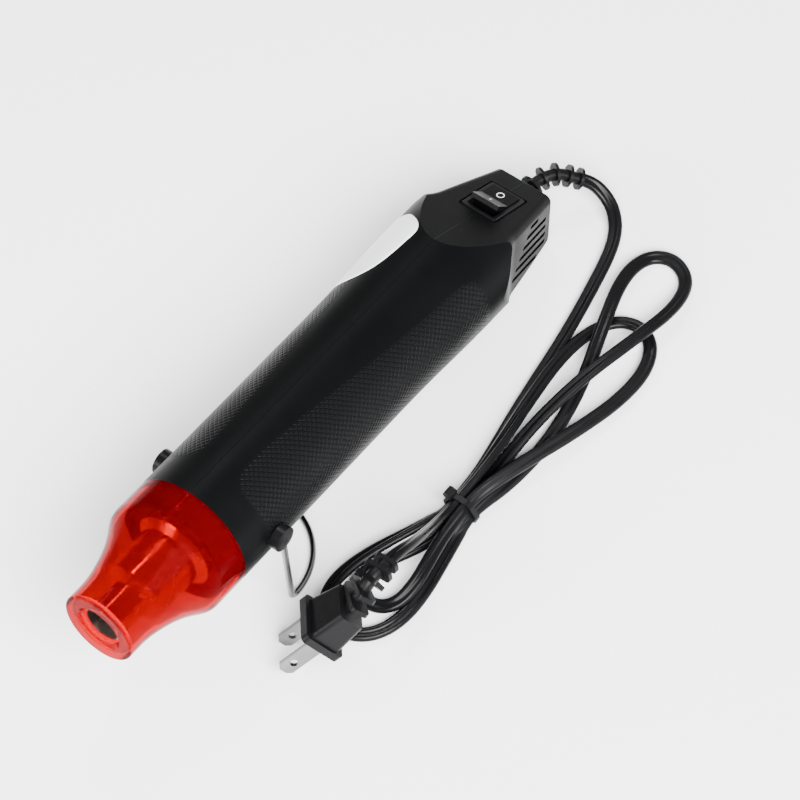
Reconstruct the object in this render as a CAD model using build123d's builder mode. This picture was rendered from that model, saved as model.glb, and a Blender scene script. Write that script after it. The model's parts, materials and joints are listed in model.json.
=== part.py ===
from build123d import *
import math
import os

os.makedirs("parts", exist_ok=True)

# Whole tool, in millimetres and degrees. Places along the tool are measured from the guard's front rim
body_length = 242.2
body_radius = 23.5
tail_radius = 24.65
tilt = 6.5
heel_radius = 6.0
overrun = 60.0

# Shells
wall = 2.0
grip_end = 140.0
swell_top = 197.0
spigot_front = 40.0
spigot_radius = 21.4
spigot_inner_radius = 19.4

# Sloping top and flat sides of the tail
facet_slope = 0.38
facet_rear_height = 3.3
facet_edge_radius = 3.0
tail_half_width = 12.1
panel_flare = 0.18
panel_front = 209.5
ramp_front = 198.5
ramp_radius = 14.0
rear_edge_radius = 1.2
skin_margin = 0.05
heel_margin = 1.5
heel_lift = 0.35

# Side vents
vent_rows = 6
vent_first_drop = 4.9
vent_pitch = 4.1
vent_width = 1.8
vent_front = 224.5
vent_front_step = 2.8
vent_rear = 238.0
vent_rear_short = 231.0
vent_inner_reach = 9.0

# Nozzle guard
guard_length = 49.5
guard_rim_radius = 14.2
guard_rim_length = 6.4
guard_rim_round = 0.9
guard_shoulder = 37.5
guard_wall = 2.0
guard_front_wall = 2.6
guard_mouth_radius = 7.9
guard_mouth_bevel = 1.4
flare_length_shares = (0.35, 0.71, 0.84)
flare_radius_shares = (0.16, 0.61, 0.87)

# Hot air path
nozzle_mouth = 2.9
nozzle_mouth_radius = 7.45
nozzle_neck_end = 16.0
nozzle_neck_slope = 2.5
nozzle_middle_radius = 12.0
nozzle_middle_end = 37.5
barrel_radius = 15.0
barrel_end = 98.0
steel_wall = 0.6
seat_clearance = 0.05
front_ring_start = 43.0
front_ring_length = 5.0
rear_ring_start = 95.0
rear_ring_length = 5.0
rear_ring_bore = 13.0
mica_start = 49.0
mica_end = 94.0
mica_thickness = 0.75
former_plate = 0.9
former_waist_radius = 11.0
former_ear_length = 3.0
coil_wire_radius = 0.4
coil_pitch = 3.4
coil_turns = 10
coil_stand_off = 0.05
cutout_radius = 4.2
cutout_length = 3.2
cutout_height = 6.5

# Blower
shroud_start = 104.0
shroud_end = 128.0
shroud_radius = 19.4
shroud_wall = 0.8
shroud_flange = 2.0
shroud_window_count = 4
shroud_window_inner = 7.0
shroud_window_outer = 17.4
shroud_spoke = 4.0
impeller_start = 109.0
impeller_length = 12.0
impeller_hub_radius = 5.0
impeller_tip_radius = 17.8
impeller_blades = 7
impeller_blade_thickness = 1.3
impeller_blade_chord = 11.0
impeller_pitch = 38.0

# Motor
motor_start = 128.0
motor_length = 31.0
motor_radius = 12.2
motor_wall = 0.9
motor_boss_radius = 3.1
magnet_thickness = 2.2
magnet_angle = 130.0
armature_radius = 8.4
armature_start = 134.0
armature_length = 18.0
armature_slots = 3
armature_slot_width = 2.2
armature_slot_depth = 4.2
shaft_radius = 1.0
shaft_start = 107.5
shaft_end = 161.0
bearing_clearance = 0.05
end_cap_length = 3.0
cradle_start = 146.0
cradle_length = 8.0
cradle_wall = 2.0
cradle_arm = 3.0
cradle_arms = 4

# Low voltage supply
board_start = 171.0
board_length = 27.0
board_width = 22.0
board_thickness = 1.6
board_top = -10.5
pad_length = 3.0
pad_inset = 3.0
diode_radius = 1.5
diode_length = 7.0
diode_count = 4
diode_pitch = 4.6
diode_place = 178.0
capacitor_radius = 5.0
capacitor_height = 12.0
capacitor_place = 191.0

# Shell ribs and screws
rib_stations = (100.0, 128.0)
rib_length = 2.0
rib_depth = 3.1
rib_half_width = 12.0
screw_places = (60.0, 136.0, 185.0, 205.0)
screw_height = -19.3
screw_boss_radius = 3.9
screw_shank_radius = 1.45
screw_head_radius = 2.5
screw_head_height = 1.8
screw_head_clearance = 0.25
screw_seat = 4.0
screw_reach = 6.0
screw_boss_reach = 8.0
screw_slot_width = 0.7
screw_slot_depth = 0.9

# Rocker switch on the sloping top
switch_place = 222.15
pocket_length = 22.6
pocket_width = 16.4
pocket_depth = 0.9
bezel_length = 21.0
bezel_width = 15.0
bezel_thickness = 1.3
bezel_round = 1.2
switch_length = 19.2
switch_width = 13.2
switch_depth = 13.0
panel_clearance = 0.1
window_length = 18.0
window_width = 11.9
window_depth = 8.2
rocker_length = 17.4
rocker_width = 11.5
rocker_thickness = 1.7
rocker_proud = 0.5
rocker_pivot_depth = 3.6
rocker_swing = 22.0
rocker_drum_radius = 3.0
trunnion_radius = 1.2
trunnion_length = 0.5
trunnion_clearance = 0.05
terminal_length = 6.5
terminal_width = 4.8
terminal_thickness = 0.8
terminal_spacing = 8.0

# Bail
pivot_place = 66.5
wire_radius = 1.2
leg_spacing = 52.0
leg_bend_radius = 3.0
cap_radius = 4.8
cap_face = 23.8
cap_side_end = 27.1
cap_crown = 27.9
spigot_pin_radius = 2.5
pin_clearance = 0.05
pin_head_radius = 3.1
pin_head_start = 19.9
pin_head_end = 20.9
wire_socket_height = 2.6

# Sticker on the left flank
label_thickness = 0.25
label_top_points = ((156.1, 9.0), (160.0, 19.3), (169.0, 22.1), (182.0, 23.2), (190.0, 22.6), (194.0, 19.0))
label_bottom = -14.0

# Strain relief at the tail
relief_height = -5.0
relief_hole_radius = 3.6
relief_core_radius = 2.3
relief_flange_radius = 5.0
relief_flange_thickness = 1.5
relief_rib_radii = (4.6, 4.5, 4.4, 4.3, 4.2)
relief_rib_thickness = 1.1
relief_groove_clearance = 0.1
relief_points = ((127.2, 0.2, 18.6), (135.3, -3.4, 18.3), (140.8, -10.6, 13.6))

# Cord anchorage inside the tail
clamp_place = 231.0
clamp_length = 5.0
clamp_width = 15.0
clamp_thickness = 3.0
clamp_post_width = 3.2
clamp_screw_head_radius = 1.9
clamp_screw_head_height = 1.2
inner_cord_reach = 1.5

# Leads from the supply to the heater, beside the motor
lead_radius = 0.65
lead_side = 20.45
lead_bend_radius = 3.0

# Flat cord. Its tube has the same section area
cord_diameter = 3.6
cord_limit_share = 0.45
exit_run = 4.8
lead_floor_points = (
    (143.5, -19.9, 7.7),
    (141.0, -25.5, 4.8),
    (135.2, -30.4, 2.7),
    (126.2, -33.8, 1.9),
    (113.0, -36.6, 1.8),
    (97.6, -39.6, 1.8),
    (81.4, -42.0, 1.8),
    (65.2, -43.9, 1.8),
    (50.4, -45.8, 1.9),
    (36.4, -48.0, 2.3),
    (24.0, -49.6, 3.0),
    (12.6, -49.9, 3.5),
    (8.0, -49.9, 3.5),
)
tail_rising_points = (
    (8.0, -51.95, 7.1),
    (3.6, -51.95, 7.1),
    (-2.4, -52.3, 9.2),
    (-9.2, -53.6, 14.2),
    (-16.2, -55.4, 20.8),
    (-23.6, -56.9, 27.4),
)

# Cord loops, gathered at the tie
tie_place = (8.0, -54.0, 0.0)
lane_pitch = 4.1
lane_low = 3.5
lane_high = 7.1
lane_straight = 4.6
loop_steps = 16
loop_first_step = 2
gap_spacing = 1.5
# Each loop: reach, heading, spread, crossing, drift and the heights of its points
hank_loops = (
    (63.1, 172.0, -20.7, 0.6, 1.1, (3.6, 3.3, 3.1, 2.3, 1.8, 1.8, 1.8, 1.8, 1.9, 1.8, 1.8, 1.8, 1.8)),
    (130.1, -0.1, 27.5, 13.5, -4.3, (1.8, 1.8, 3.1, 6.9, 4.8, 1.8, 1.8, 1.8, 5.3, 8.2, 8.2, 5.4, 1.8)),
    (48.8, 171.8, -17.3, -3.8, 2.8, (2.7, 1.8, 1.8, 1.8, 1.8, 1.8, 1.8, 1.8, 3.6, 6.0, 7.6, 8.2, 5.7)),
    (99.5, -4.0, -23.2, -1.6, -0.9, (8.2, 6.6, 4.8, 3.2, 2.1, 1.8, 1.8, 1.8, 1.9, 3.8, 5.6, 7.3, 8.2)),
)
tie_thickness = 1.2
tie_length = 2.2
tie_clearance = 0.12
tie_knot_radius = 1.9
tie_knot_length = 3.6

# Plug
plug_place = (-64.07, -46.63, 15.3)
plug_axis = (0.6130, -0.4688, 0.6355)
plug_stack = (-0.7357, -0.6319, 0.2431)
flange_length = 20.6
flange_width = 16.8
flange_thickness = 3.0
flange_corner = 2.0
plug_front_length = 18.6
plug_front_width = 13.2
plug_rear_length = 16.0
plug_rear_width = 10.6
plug_body_length = 13.0
plug_corner = 2.0
plug_relief_core = 2.6
plug_rib_lengths = (17.0, 15.0, 13.0, 11.0, 9.4)
plug_rib_width = 7.0
plug_rib_end_width = 5.4
plug_rib_thickness = 1.7
plug_relief_points = ((-53.2, -55.0, 27.4), (-44.9, -56.4, 34.4), (-36.0, -56.8, 33.0))
blade_length = 17.5
blade_width = 6.35
blade_thickness = 1.5
blade_spacing = 12.7
blade_hole_radius = 1.6
blade_hole_place = 12.0
blade_corner = 1.6
blade_root = 6.0

# The tool's own frame: along from the rim to the tail, side towards the right, rise towards the top
cos_tilt = math.cos(math.radians(tilt))
sin_tilt = math.sin(math.radians(tilt))
rim_height = (
    (body_length - heel_radius) * sin_tilt + (body_radius - heel_radius) * cos_tilt + heel_radius + heel_lift
)
tail_reach = body_length * cos_tilt + facet_rear_height * sin_tilt
rim_reach = -guard_rim_radius * sin_tilt
rim_place = -(tail_reach + rim_reach) / 2
along = Vector(cos_tilt, 0, -sin_tilt)
rise = Vector(sin_tilt, 0, cos_tilt)
left = Vector(0, 1, 0)
tool_origin = Vector(rim_place, 0, rim_height)
tool_axis = Axis(tool_origin, along)
side_plane = Plane(origin=tool_origin, x_dir=along, z_dir=-left)
top_plane = Plane(origin=tool_origin, x_dir=along, z_dir=rise)


def spot(station, side, height):
    """Point of the tool's frame, side measured towards the left."""
    return tool_origin + along * station + left * side + rise * height


def across(station, side=0.0, height=0.0):
    """Plane square to the tool's axis, facing the tail."""
    return Plane(origin=spot(station, side, height), x_dir=left, z_dir=along)


def left_facing(station, side, height):
    """Plane along the tool that faces the left flank."""
    return Plane(origin=spot(station, side, height), x_dir=along, z_dir=left)


def ring(outer, inner):
    """Annulus in the sketch that is open."""
    Circle(outer)
    Circle(inner, mode=Mode.SUBTRACT)


def facet_height(station, drop=0.0):
    """Height of the sloping top at a station, lowered by a drop."""
    return facet_rear_height + facet_slope * (body_length - station) - drop


def body_form(inset, front, front_radius, rear_round, heel_round, edge_round):
    """Solid inside the body's skin, moved inwards by an inset."""
    rear = body_length - inset
    grip = body_radius - inset
    swell = tail_radius - inset
    collar = guard_length + (spigot_radius - front_radius)
    panel = tail_half_width + panel_flare * (body_length - panel_front) - inset
    outside = swell + skin_margin
    far_front = front - overrun
    drop = inset * math.sqrt(1 + facet_slope**2)
    facet_start = facet_height(rear, drop)
    with BuildPart() as form:
        # Plan outline: flat sides of the tail, and the ramps out to the grip
        with BuildSketch(top_plane):
            with BuildLine():
                flank = FilletPolyline(
                    (rear, tail_half_width + panel_flare * inset - inset),
                    (panel_front, panel),
                    (ramp_front, outside),
                    (far_front, outside),
                    radius=(ramp_radius, ramp_radius),
                )
                mirror(flank, about=Plane.XZ)
                Line(flank @ 0, (rear, -(flank @ 0).Y))
                Line(flank @ 1, (far_front, -outside))
            make_face()
        extrude(amount=overrun, both=True)
        # Side outline: sloping top, rear face and heel
        with BuildSketch(side_plane):
            with BuildLine():
                FilletPolyline(
                    (far_front, overrun),
                    (rear - (overrun - facet_start) / facet_slope, overrun),
                    (rear, facet_start),
                    (rear, -grip),
                    (swell_top, -swell - heel_margin),
                    (far_front, -overrun),
                    radius=(0, 0, 0, heel_round, 0, 0),
                    close=True,
                )
            make_face()
        extrude(amount=overrun, both=True, mode=Mode.INTERSECT)
        if edge_round > 0:
            middle = (panel_front + body_length) / 2
            half_width = tail_half_width + panel_flare * (body_length - middle)
            places = [spot(middle, side * half_width, facet_height(middle)) for side in (-1, 1)]
            fillet([form.edges().sort_by_distance(place)[0] for place in places], edge_round)
            fillet(form.edges().sort_by_distance(spot(body_length, 0, facet_rear_height))[0], rear_round)
        # Round body, swelling a little towards the tail
        with BuildSketch(side_plane):
            with BuildLine():
                Polyline(
                    (rear, 0), (front, 0), (front, front_radius), (collar, front_radius), (collar, grip), (grip_end, grip)
                )
                lower = TangentArc((grip_end, grip), ((grip_end + swell_top) / 2, (grip + swell) / 2), tangent=(1, 0))
                upper = TangentArc(lower @ 1, (swell_top, swell), tangent=lower % 1)
                last = TangentArc(upper @ 1, (rear, grip), tangent=(1, 0))
                Line(last @ 1, (rear, 0))
            make_face()
        revolve(axis=tool_axis, mode=Mode.INTERSECT)
    return form.part


with BuildPart() as outer_form:
    add(body_form(0, spigot_front, spigot_radius, rear_edge_radius, heel_radius, facet_edge_radius))

# Switch frame on the sloping top, with its own x towards the tail and z out of the top
facet_norm = math.sqrt(1 + facet_slope**2)
facet_along = (along - rise * facet_slope) / facet_norm
facet_out = (rise + along * facet_slope) / facet_norm
switch_seat = spot(switch_place, 0, facet_height(switch_place)) - facet_out * pocket_depth


def on_facet(height):
    """Plane parallel to the sloping top, at a height over the pocket's floor."""
    return Plane(origin=switch_seat + facet_out * height, x_dir=facet_along, z_dir=facet_out)


# Bail pivot
pivot_point = spot(pivot_place, 0, 0)
pivot_height = pivot_point.Z
pivot_axis = Axis(pivot_point, left)


# Both shells together, before they are parted
with BuildPart() as housing:
    add(outer_form.part)
    add(
        body_form(wall, spigot_front - overrun, spigot_inner_radius, 0, heel_radius - wall, 0),
        mode=Mode.SUBTRACT,
    )
    # Short ribs that the rear ring and the blower lean against
    for station in rib_stations:
        with BuildSketch(across(station)):
            ring(body_radius - wall / 2, body_radius - wall - rib_depth)
            Rectangle(2 * rib_half_width, 2 * body_radius, mode=Mode.INTERSECT)
        extrude(amount=rib_length)
    # Pads under the board
    pad_top = board_top - board_thickness
    pad_bottom = -(body_radius - wall / 2)
    for station in (board_start + pad_inset, board_start + board_length - pad_inset - pad_length):
        with BuildSketch(across(station, 0, (pad_top + pad_bottom) / 2)):
            Rectangle(board_width / 2, pad_top - pad_bottom)
        extrude(amount=pad_length)
    # Posts under the cord clamp
    clamp_base = relief_height - relief_core_radius
    post_bottom = -(body_radius - wall / 2)
    with BuildSketch(across(clamp_place, 0, (clamp_base + post_bottom) / 2)):
        with Locations((-(clamp_width - clamp_post_width) / 2, 0), ((clamp_width - clamp_post_width) / 2, 0)):
            Rectangle(clamp_post_width, clamp_base - post_bottom)
    extrude(amount=clamp_length)
    # Screw bosses along the bottom, with their counterbores
    for station in screw_places:
        with BuildSketch(left_facing(station, -screw_boss_reach, screw_height)):
            Circle(screw_boss_radius)
        extrude(until=Until.LAST)
        with BuildSketch(left_facing(station, -screw_reach - screw_head_clearance, screw_height)):
            Circle(screw_shank_radius + pin_clearance)
        extrude(amount=overrun, mode=Mode.SUBTRACT)
        with BuildSketch(left_facing(station, screw_seat, screw_height)):
            Circle(screw_head_radius + screw_head_clearance)
        extrude(amount=overrun, mode=Mode.SUBTRACT)
    # Bail pivot holes
    with BuildSketch(Plane(origin=pivot_point, x_dir=along, z_dir=left)):
        Circle(spigot_pin_radius + pin_clearance)
    extrude(amount=overrun, both=True, mode=Mode.SUBTRACT)
    # Vents in both flat sides, parallel to the sloping top
    slope_angle = math.degrees(math.atan(facet_slope))
    for side in (-1, 1):
        with BuildSketch(Plane(origin=spot(0, side * vent_inner_reach, 0), x_dir=along, z_dir=-left)):
            for row in range(vent_rows):
                drop = vent_first_drop + row * vent_pitch
                start = vent_front - row * vent_front_step
                end = vent_rear_short if row in (0, vent_rows - 1) else vent_rear
                middle = (start + end) / 2
                with Locations(Location((middle, facet_height(middle, drop), 0), (0, 0, -slope_angle))):
                    SlotOverall((end - start) * facet_norm, vent_width)
        extrude(amount=-side * overrun, mode=Mode.SUBTRACT)
    # Pocket and opening for the switch
    with BuildSketch(on_facet(0)):
        RectangleRounded(pocket_length, pocket_width, bezel_round)
    extrude(amount=overrun, mode=Mode.SUBTRACT)
    with BuildSketch(on_facet(0)):
        Rectangle(switch_length + 2 * panel_clearance, switch_width + 2 * panel_clearance)
    extrude(amount=-switch_depth, mode=Mode.SUBTRACT)
    # Hole for the strain relief
    with BuildSketch(across(body_length - 2 * wall, 0, relief_height)):
        Circle(relief_hole_radius + relief_groove_clearance)
    extrude(amount=overrun, mode=Mode.SUBTRACT)

with BuildPart() as left_shell:
    add(housing.part)
    split(bisect_by=Plane.XZ, keep=Keep.BOTTOM)
left_shell.part.label = "left_shell"

with BuildPart() as right_shell:
    add(housing.part)
    split(bisect_by=Plane.XZ, keep=Keep.TOP)
right_shell.part.label = "right_shell"


def flare_points(thinning):
    """Points of the guard's flare between its rim and its shoulder, thinned by a wall."""
    return [
        (
            guard_rim_length + length_share * (guard_shoulder - guard_rim_length),
            guard_rim_radius + radius_share * (body_radius - guard_rim_radius) - thinning,
        )
        for length_share, radius_share in zip(flare_length_shares, flare_radius_shares)
    ]


with BuildPart() as nozzle_guard:
    with BuildSketch(side_plane):
        with BuildLine():
            inner_collar = spigot_radius + seat_clearance
            Polyline(
                (guard_front_wall, guard_mouth_radius),
                (guard_mouth_bevel, guard_mouth_radius),
                (0, guard_mouth_radius + guard_mouth_bevel),
                (0, guard_rim_radius - guard_rim_round),
            )
            RadiusArc((0, guard_rim_radius - guard_rim_round), (guard_rim_round, guard_rim_radius), guard_rim_round)
            Line((guard_rim_round, guard_rim_radius), (guard_rim_length, guard_rim_radius))
            Spline(
                (guard_rim_length, guard_rim_radius),
                *flare_points(0),
                (guard_shoulder, body_radius),
                tangents=((1, 0), (1, 0)),
            )
            Polyline(
                (guard_shoulder, body_radius),
                (guard_length, body_radius),
                (guard_length, inner_collar),
                (guard_shoulder, inner_collar),
            )
            Spline(
                (guard_shoulder, inner_collar),
                *reversed(flare_points(guard_wall)),
                (guard_rim_length, guard_rim_radius - guard_wall),
                tangents=((-1, 0), (-1, 0)),
            )
            Polyline(
                (guard_rim_length, guard_rim_radius - guard_wall),
                (guard_front_wall, guard_rim_radius - guard_wall),
                (guard_front_wall, guard_mouth_radius),
            )
        make_face()
    revolve(axis=tool_axis)
nozzle_guard.part.label = "nozzle_guard"

with BuildPart() as steel_nozzle:
    with BuildSketch(side_plane):
        with BuildLine():
            middle_start = nozzle_neck_end + nozzle_neck_slope
            barrel_start = nozzle_middle_end + nozzle_neck_slope
            Polyline(
                (nozzle_mouth, nozzle_mouth_radius),
                (nozzle_neck_end, nozzle_mouth_radius),
                (middle_start, nozzle_middle_radius),
                (nozzle_middle_end, nozzle_middle_radius),
                (barrel_start, barrel_radius),
                (barrel_end, barrel_radius),
                (barrel_end, barrel_radius - steel_wall),
                (barrel_start + steel_wall, barrel_radius - steel_wall),
                (nozzle_middle_end + steel_wall, nozzle_middle_radius - steel_wall),
                (middle_start + steel_wall, nozzle_middle_radius - steel_wall),
                (nozzle_neck_end + steel_wall, nozzle_mouth_radius - steel_wall),
                (nozzle_mouth, nozzle_mouth_radius - steel_wall),
                close=True,
            )
        make_face()
    revolve(axis=tool_axis)
steel_nozzle.part.label = "steel_nozzle"

with BuildPart() as front_ring:
    with BuildSketch(across(front_ring_start)):
        ring(spigot_inner_radius - seat_clearance, barrel_radius + seat_clearance)
    extrude(amount=front_ring_length)
front_ring.part.label = "front_ring"

with BuildPart() as rear_ring:
    with BuildSketch(across(rear_ring_start)):
        ring(body_radius - wall - seat_clearance, rear_ring_bore)
    extrude(amount=rear_ring_length)
    with BuildSketch(across(rear_ring_start)):
        Circle(barrel_radius + seat_clearance)
    extrude(amount=barrel_end - rear_ring_start, mode=Mode.SUBTRACT)
    # Holes that let the heater leads through
    with BuildSketch(across(rear_ring_start)):
        with Locations((-lead_side, 0), (lead_side, 0)):
            Rectangle(4 * lead_radius, 4 * lead_radius)
    extrude(amount=rear_ring_length, mode=Mode.SUBTRACT)
rear_ring.part.label = "rear_ring"

mica_radius = barrel_radius - steel_wall - seat_clearance
mica_inner = mica_radius - mica_thickness
with BuildPart() as mica_sleeve:
    with BuildSketch(across(mica_start)):
        ring(mica_radius, mica_inner)
    extrude(amount=mica_end - mica_start)
mica_sleeve.part.label = "mica_sleeve"

with BuildPart() as heater_former:
    with BuildSketch(across(mica_start)):
        Rectangle(2 * former_waist_radius, former_plate)
        Rectangle(former_plate, 2 * former_waist_radius)
    extrude(amount=mica_end - mica_start)
    for station in (mica_start, mica_end - former_ear_length):
        with BuildSketch(across(station)):
            Rectangle(2 * (mica_inner - seat_clearance), former_plate)
            Rectangle(former_plate, 2 * (mica_inner - seat_clearance))
            Circle(mica_inner - seat_clearance, mode=Mode.INTERSECT)
        extrude(amount=former_ear_length)
heater_former.part.label = "heater_former"

coil_radius = former_waist_radius + coil_stand_off + coil_wire_radius
coil_length = coil_turns * coil_pitch
coil_start = (mica_start + mica_end - coil_length) / 2
with BuildPart() as heating_coil:
    with BuildLine():
        coil_path = Helix(coil_pitch, coil_length, coil_radius, center=spot(coil_start, 0, 0), direction=along)
    with BuildSketch(Plane(origin=coil_path @ 0, z_dir=coil_path % 0)):
        Circle(coil_wire_radius)
    sweep(path=coil_path, is_frenet=True)
heating_coil.part.label = "heating_coil"

with BuildPart() as thermal_cutout:
    with BuildSketch(across(mica_end, 0, cutout_height)):
        Circle(cutout_radius)
    extrude(amount=cutout_length)
thermal_cutout.part.label = "thermal_cutout"

with BuildPart() as fan_shroud:
    with BuildSketch(across(shroud_start)):
        ring(shroud_radius, shroud_radius - shroud_wall)
    extrude(amount=shroud_end - shroud_start)
    with BuildSketch(across(shroud_end - shroud_flange)):
        ring(body_radius - wall - seat_clearance, motor_boss_radius + seat_clearance)
        with Locations((-lead_side, 0), (lead_side, 0)):
            Rectangle(4 * lead_radius, 4 * lead_radius, mode=Mode.SUBTRACT)
    extrude(amount=shroud_flange)
    with BuildSketch(across(shroud_end - shroud_flange)):
        ring(shroud_window_outer, shroud_window_inner)
        for turn in range(shroud_window_count // 2):
            with Locations(Location((0, 0, 0), (0, 0, 45 + 90 * turn))):
                Rectangle(2 * shroud_radius, shroud_spoke, mode=Mode.SUBTRACT)
    extrude(amount=shroud_flange, mode=Mode.SUBTRACT)
fan_shroud.part.label = "fan_shroud"

with BuildPart() as fan_impeller:
    with BuildSketch(across(impeller_start)):
        Circle(impeller_hub_radius)
    extrude(amount=impeller_length)
    for number in range(impeller_blades):
        angle = math.radians(360 * number / impeller_blades)
        pitch = math.radians(impeller_pitch)
        outward = left * math.cos(angle) + rise * math.sin(angle)
        around = rise * math.cos(angle) - left * math.sin(angle)
        chord = along * math.cos(pitch) + around * math.sin(pitch)
        root = spot(impeller_start + impeller_length / 2, 0, 0) + outward * (impeller_hub_radius / 2)
        with BuildSketch(Plane(origin=root, x_dir=chord, z_dir=outward)):
            Rectangle(impeller_blade_chord, impeller_blade_thickness)
        extrude(amount=impeller_tip_radius - impeller_hub_radius / 2)
    with BuildSketch(across(impeller_start)):
        Circle(shaft_radius)
    extrude(amount=impeller_length, mode=Mode.SUBTRACT)
fan_impeller.part.label = "fan_impeller"

with BuildPart() as motor_shaft:
    with BuildSketch(across(shaft_start)):
        Circle(shaft_radius)
    extrude(amount=shaft_end - shaft_start)
motor_shaft.part.label = "motor_shaft"

bearing_radius = shaft_radius + bearing_clearance
with BuildPart() as motor_can:
    with BuildSketch(across(motor_start)):
        Circle(motor_radius)
    extrude(amount=motor_length)
    with BuildSketch(across(motor_start - shroud_flange)):
        Circle(motor_boss_radius)
    extrude(amount=shroud_flange)
    with BuildSketch(across(motor_start + shroud_flange)):
        Circle(motor_radius - motor_wall)
    extrude(amount=motor_length, mode=Mode.SUBTRACT)
    with BuildSketch(across(motor_start - shroud_flange)):
        Circle(bearing_radius)
    extrude(amount=motor_length, mode=Mode.SUBTRACT)
motor_can.part.label = "motor_can"

magnet_outer = motor_radius - motor_wall
with BuildPart() as motor_magnets:
    with BuildSketch(across(armature_start)):
        ring(magnet_outer, magnet_outer - magnet_thickness)
        for turn in (0, 180):
            half_gap = (180 - magnet_angle) / 2
            far = 2 * motor_radius
            reach = far * math.tan(math.radians(half_gap))
            with Locations(Location((0, 0, 0), (0, 0, turn))):
                Polygon((0, 0), (far, -reach), (far, reach), align=None, mode=Mode.SUBTRACT)
    extrude(amount=armature_length)
motor_magnets.part.label = "motor_magnets"

with BuildPart() as motor_armature:
    with BuildSketch(across(armature_start)):
        Circle(armature_radius)
        for number in range(armature_slots):
            with Locations(Location((0, 0, 0), (0, 0, 360 * number / armature_slots))):
                with Locations((armature_radius, 0)):
                    Rectangle(2 * armature_slot_depth, armature_slot_width, mode=Mode.SUBTRACT)
        Circle(shaft_radius, mode=Mode.SUBTRACT)
    extrude(amount=armature_length)
motor_armature.part.label = "motor_armature"

with BuildPart() as motor_end_cap:
    with BuildSketch(across(motor_start + motor_length)):
        ring(motor_radius, bearing_radius)
    extrude(amount=end_cap_length)
motor_end_cap.part.label = "motor_end_cap"

with BuildPart() as motor_cradle:
    cradle_outer = motor_radius + seat_clearance + cradle_wall
    with BuildSketch(across(cradle_start)):
        Circle(cradle_outer)
        for number in range(cradle_arms):
            with Locations(Location((0, 0, 0), (0, 0, 45 + 360 * number / cradle_arms))):
                with Locations((body_radius / 2, 0)):
                    Rectangle(body_radius, cradle_arm)
        Circle(body_radius - wall - seat_clearance, mode=Mode.INTERSECT)
        Circle(motor_radius + seat_clearance, mode=Mode.SUBTRACT)
    extrude(amount=cradle_length)
motor_cradle.part.label = "motor_cradle"

board_middle = board_start + board_length / 2


def on_board(station, side, height=0.0):
    """Plane on top of the board, at a station and a side."""
    return Plane(origin=spot(station, side, board_top + height), x_dir=along, z_dir=rise)


with BuildPart() as rectifier_board:
    with BuildSketch(on_board(board_middle, 0)):
        Rectangle(board_length, board_width)
    extrude(amount=-board_thickness)
rectifier_board.part.label = "rectifier_board"

with BuildPart() as rectifier_diodes:
    for number in range(diode_count):
        side = (number - (diode_count - 1) / 2) * diode_pitch
        with BuildSketch(across(diode_place - diode_length / 2, side, board_top + diode_radius)):
            Circle(diode_radius)
        extrude(amount=diode_length)
rectifier_diodes.part.label = "rectifier_diodes"

with BuildPart() as smoothing_capacitor:
    with BuildSketch(on_board(capacitor_place, 0)):
        Circle(capacitor_radius)
    extrude(amount=capacitor_height)
    fillet(smoothing_capacitor.edges().sort_by(Axis(tool_origin, rise))[-1], capacitor_radius / 6)
smoothing_capacitor.part.label = "smoothing_capacitor"

# The rocker's pivot line lies across the tool, under the sloping top
rocker_pivot = switch_seat + facet_out * (bezel_thickness - rocker_pivot_depth)
rocker_plane = Plane(origin=rocker_pivot, x_dir=facet_along, z_dir=-left)

with BuildPart() as switch_body:
    with BuildSketch(on_facet(0)):
        RectangleRounded(bezel_length, bezel_width, bezel_round)
    extrude(amount=bezel_thickness)
    chamfer(switch_body.faces().sort_by(Axis(switch_seat, facet_out))[-1].edges(), bezel_thickness / 4)
    with BuildSketch(on_facet(0)):
        Rectangle(switch_length, switch_width)
    extrude(amount=-switch_depth)
    with BuildSketch(on_facet(bezel_thickness)):
        Rectangle(window_length, window_width)
    extrude(amount=-window_depth, mode=Mode.SUBTRACT)
    with BuildSketch(Plane(origin=rocker_pivot, x_dir=facet_along, z_dir=left)):
        Circle(trunnion_radius + trunnion_clearance)
    extrude(amount=rocker_width / 2 + trunnion_length + trunnion_clearance, both=True, mode=Mode.SUBTRACT)
switch_body.part.label = "switch_body"


def rocker_tipped(x, y):
    """Place of a point of the rocker's flush half once it is mirrored and turned up by the swing."""
    turn = math.radians(rocker_swing)
    return (y * math.sin(turn) - x * math.cos(turn), y * math.cos(turn) + x * math.sin(turn))


with BuildPart() as switch_rocker:
    half = rocker_length / 2
    top = rocker_pivot_depth + rocker_proud
    under = top - rocker_thickness
    crease_slope = math.tan(math.radians(rocker_swing / 2))
    with BuildSketch(rocker_plane):
        Polygon(
            (half, top),
            (top * crease_slope, top),
            rocker_tipped(half, top),
            rocker_tipped(half, under),
            (under * crease_slope, under),
            (half, under),
            align=None,
        )
        Circle(rocker_drum_radius)
        Polygon(
            (-rocker_drum_radius, 0),
            (-rocker_drum_radius, top - rocker_thickness / 2),
            (rocker_drum_radius, top - rocker_thickness / 2),
            (rocker_drum_radius, 0),
            align=None,
        )
    extrude(amount=rocker_width / 2, both=True)
    with BuildSketch(rocker_plane):
        Circle(trunnion_radius)
    extrude(amount=rocker_width / 2 + trunnion_length, both=True)
switch_rocker.part.label = "switch_rocker"

with BuildPart() as switch_terminals:
    with BuildSketch(on_facet(-switch_depth)):
        with Locations((-terminal_spacing / 2, 0), (terminal_spacing / 2, 0)):
            Rectangle(terminal_thickness, terminal_width)
    extrude(amount=-terminal_length)
switch_terminals.part.label = "switch_terminals"

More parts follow.
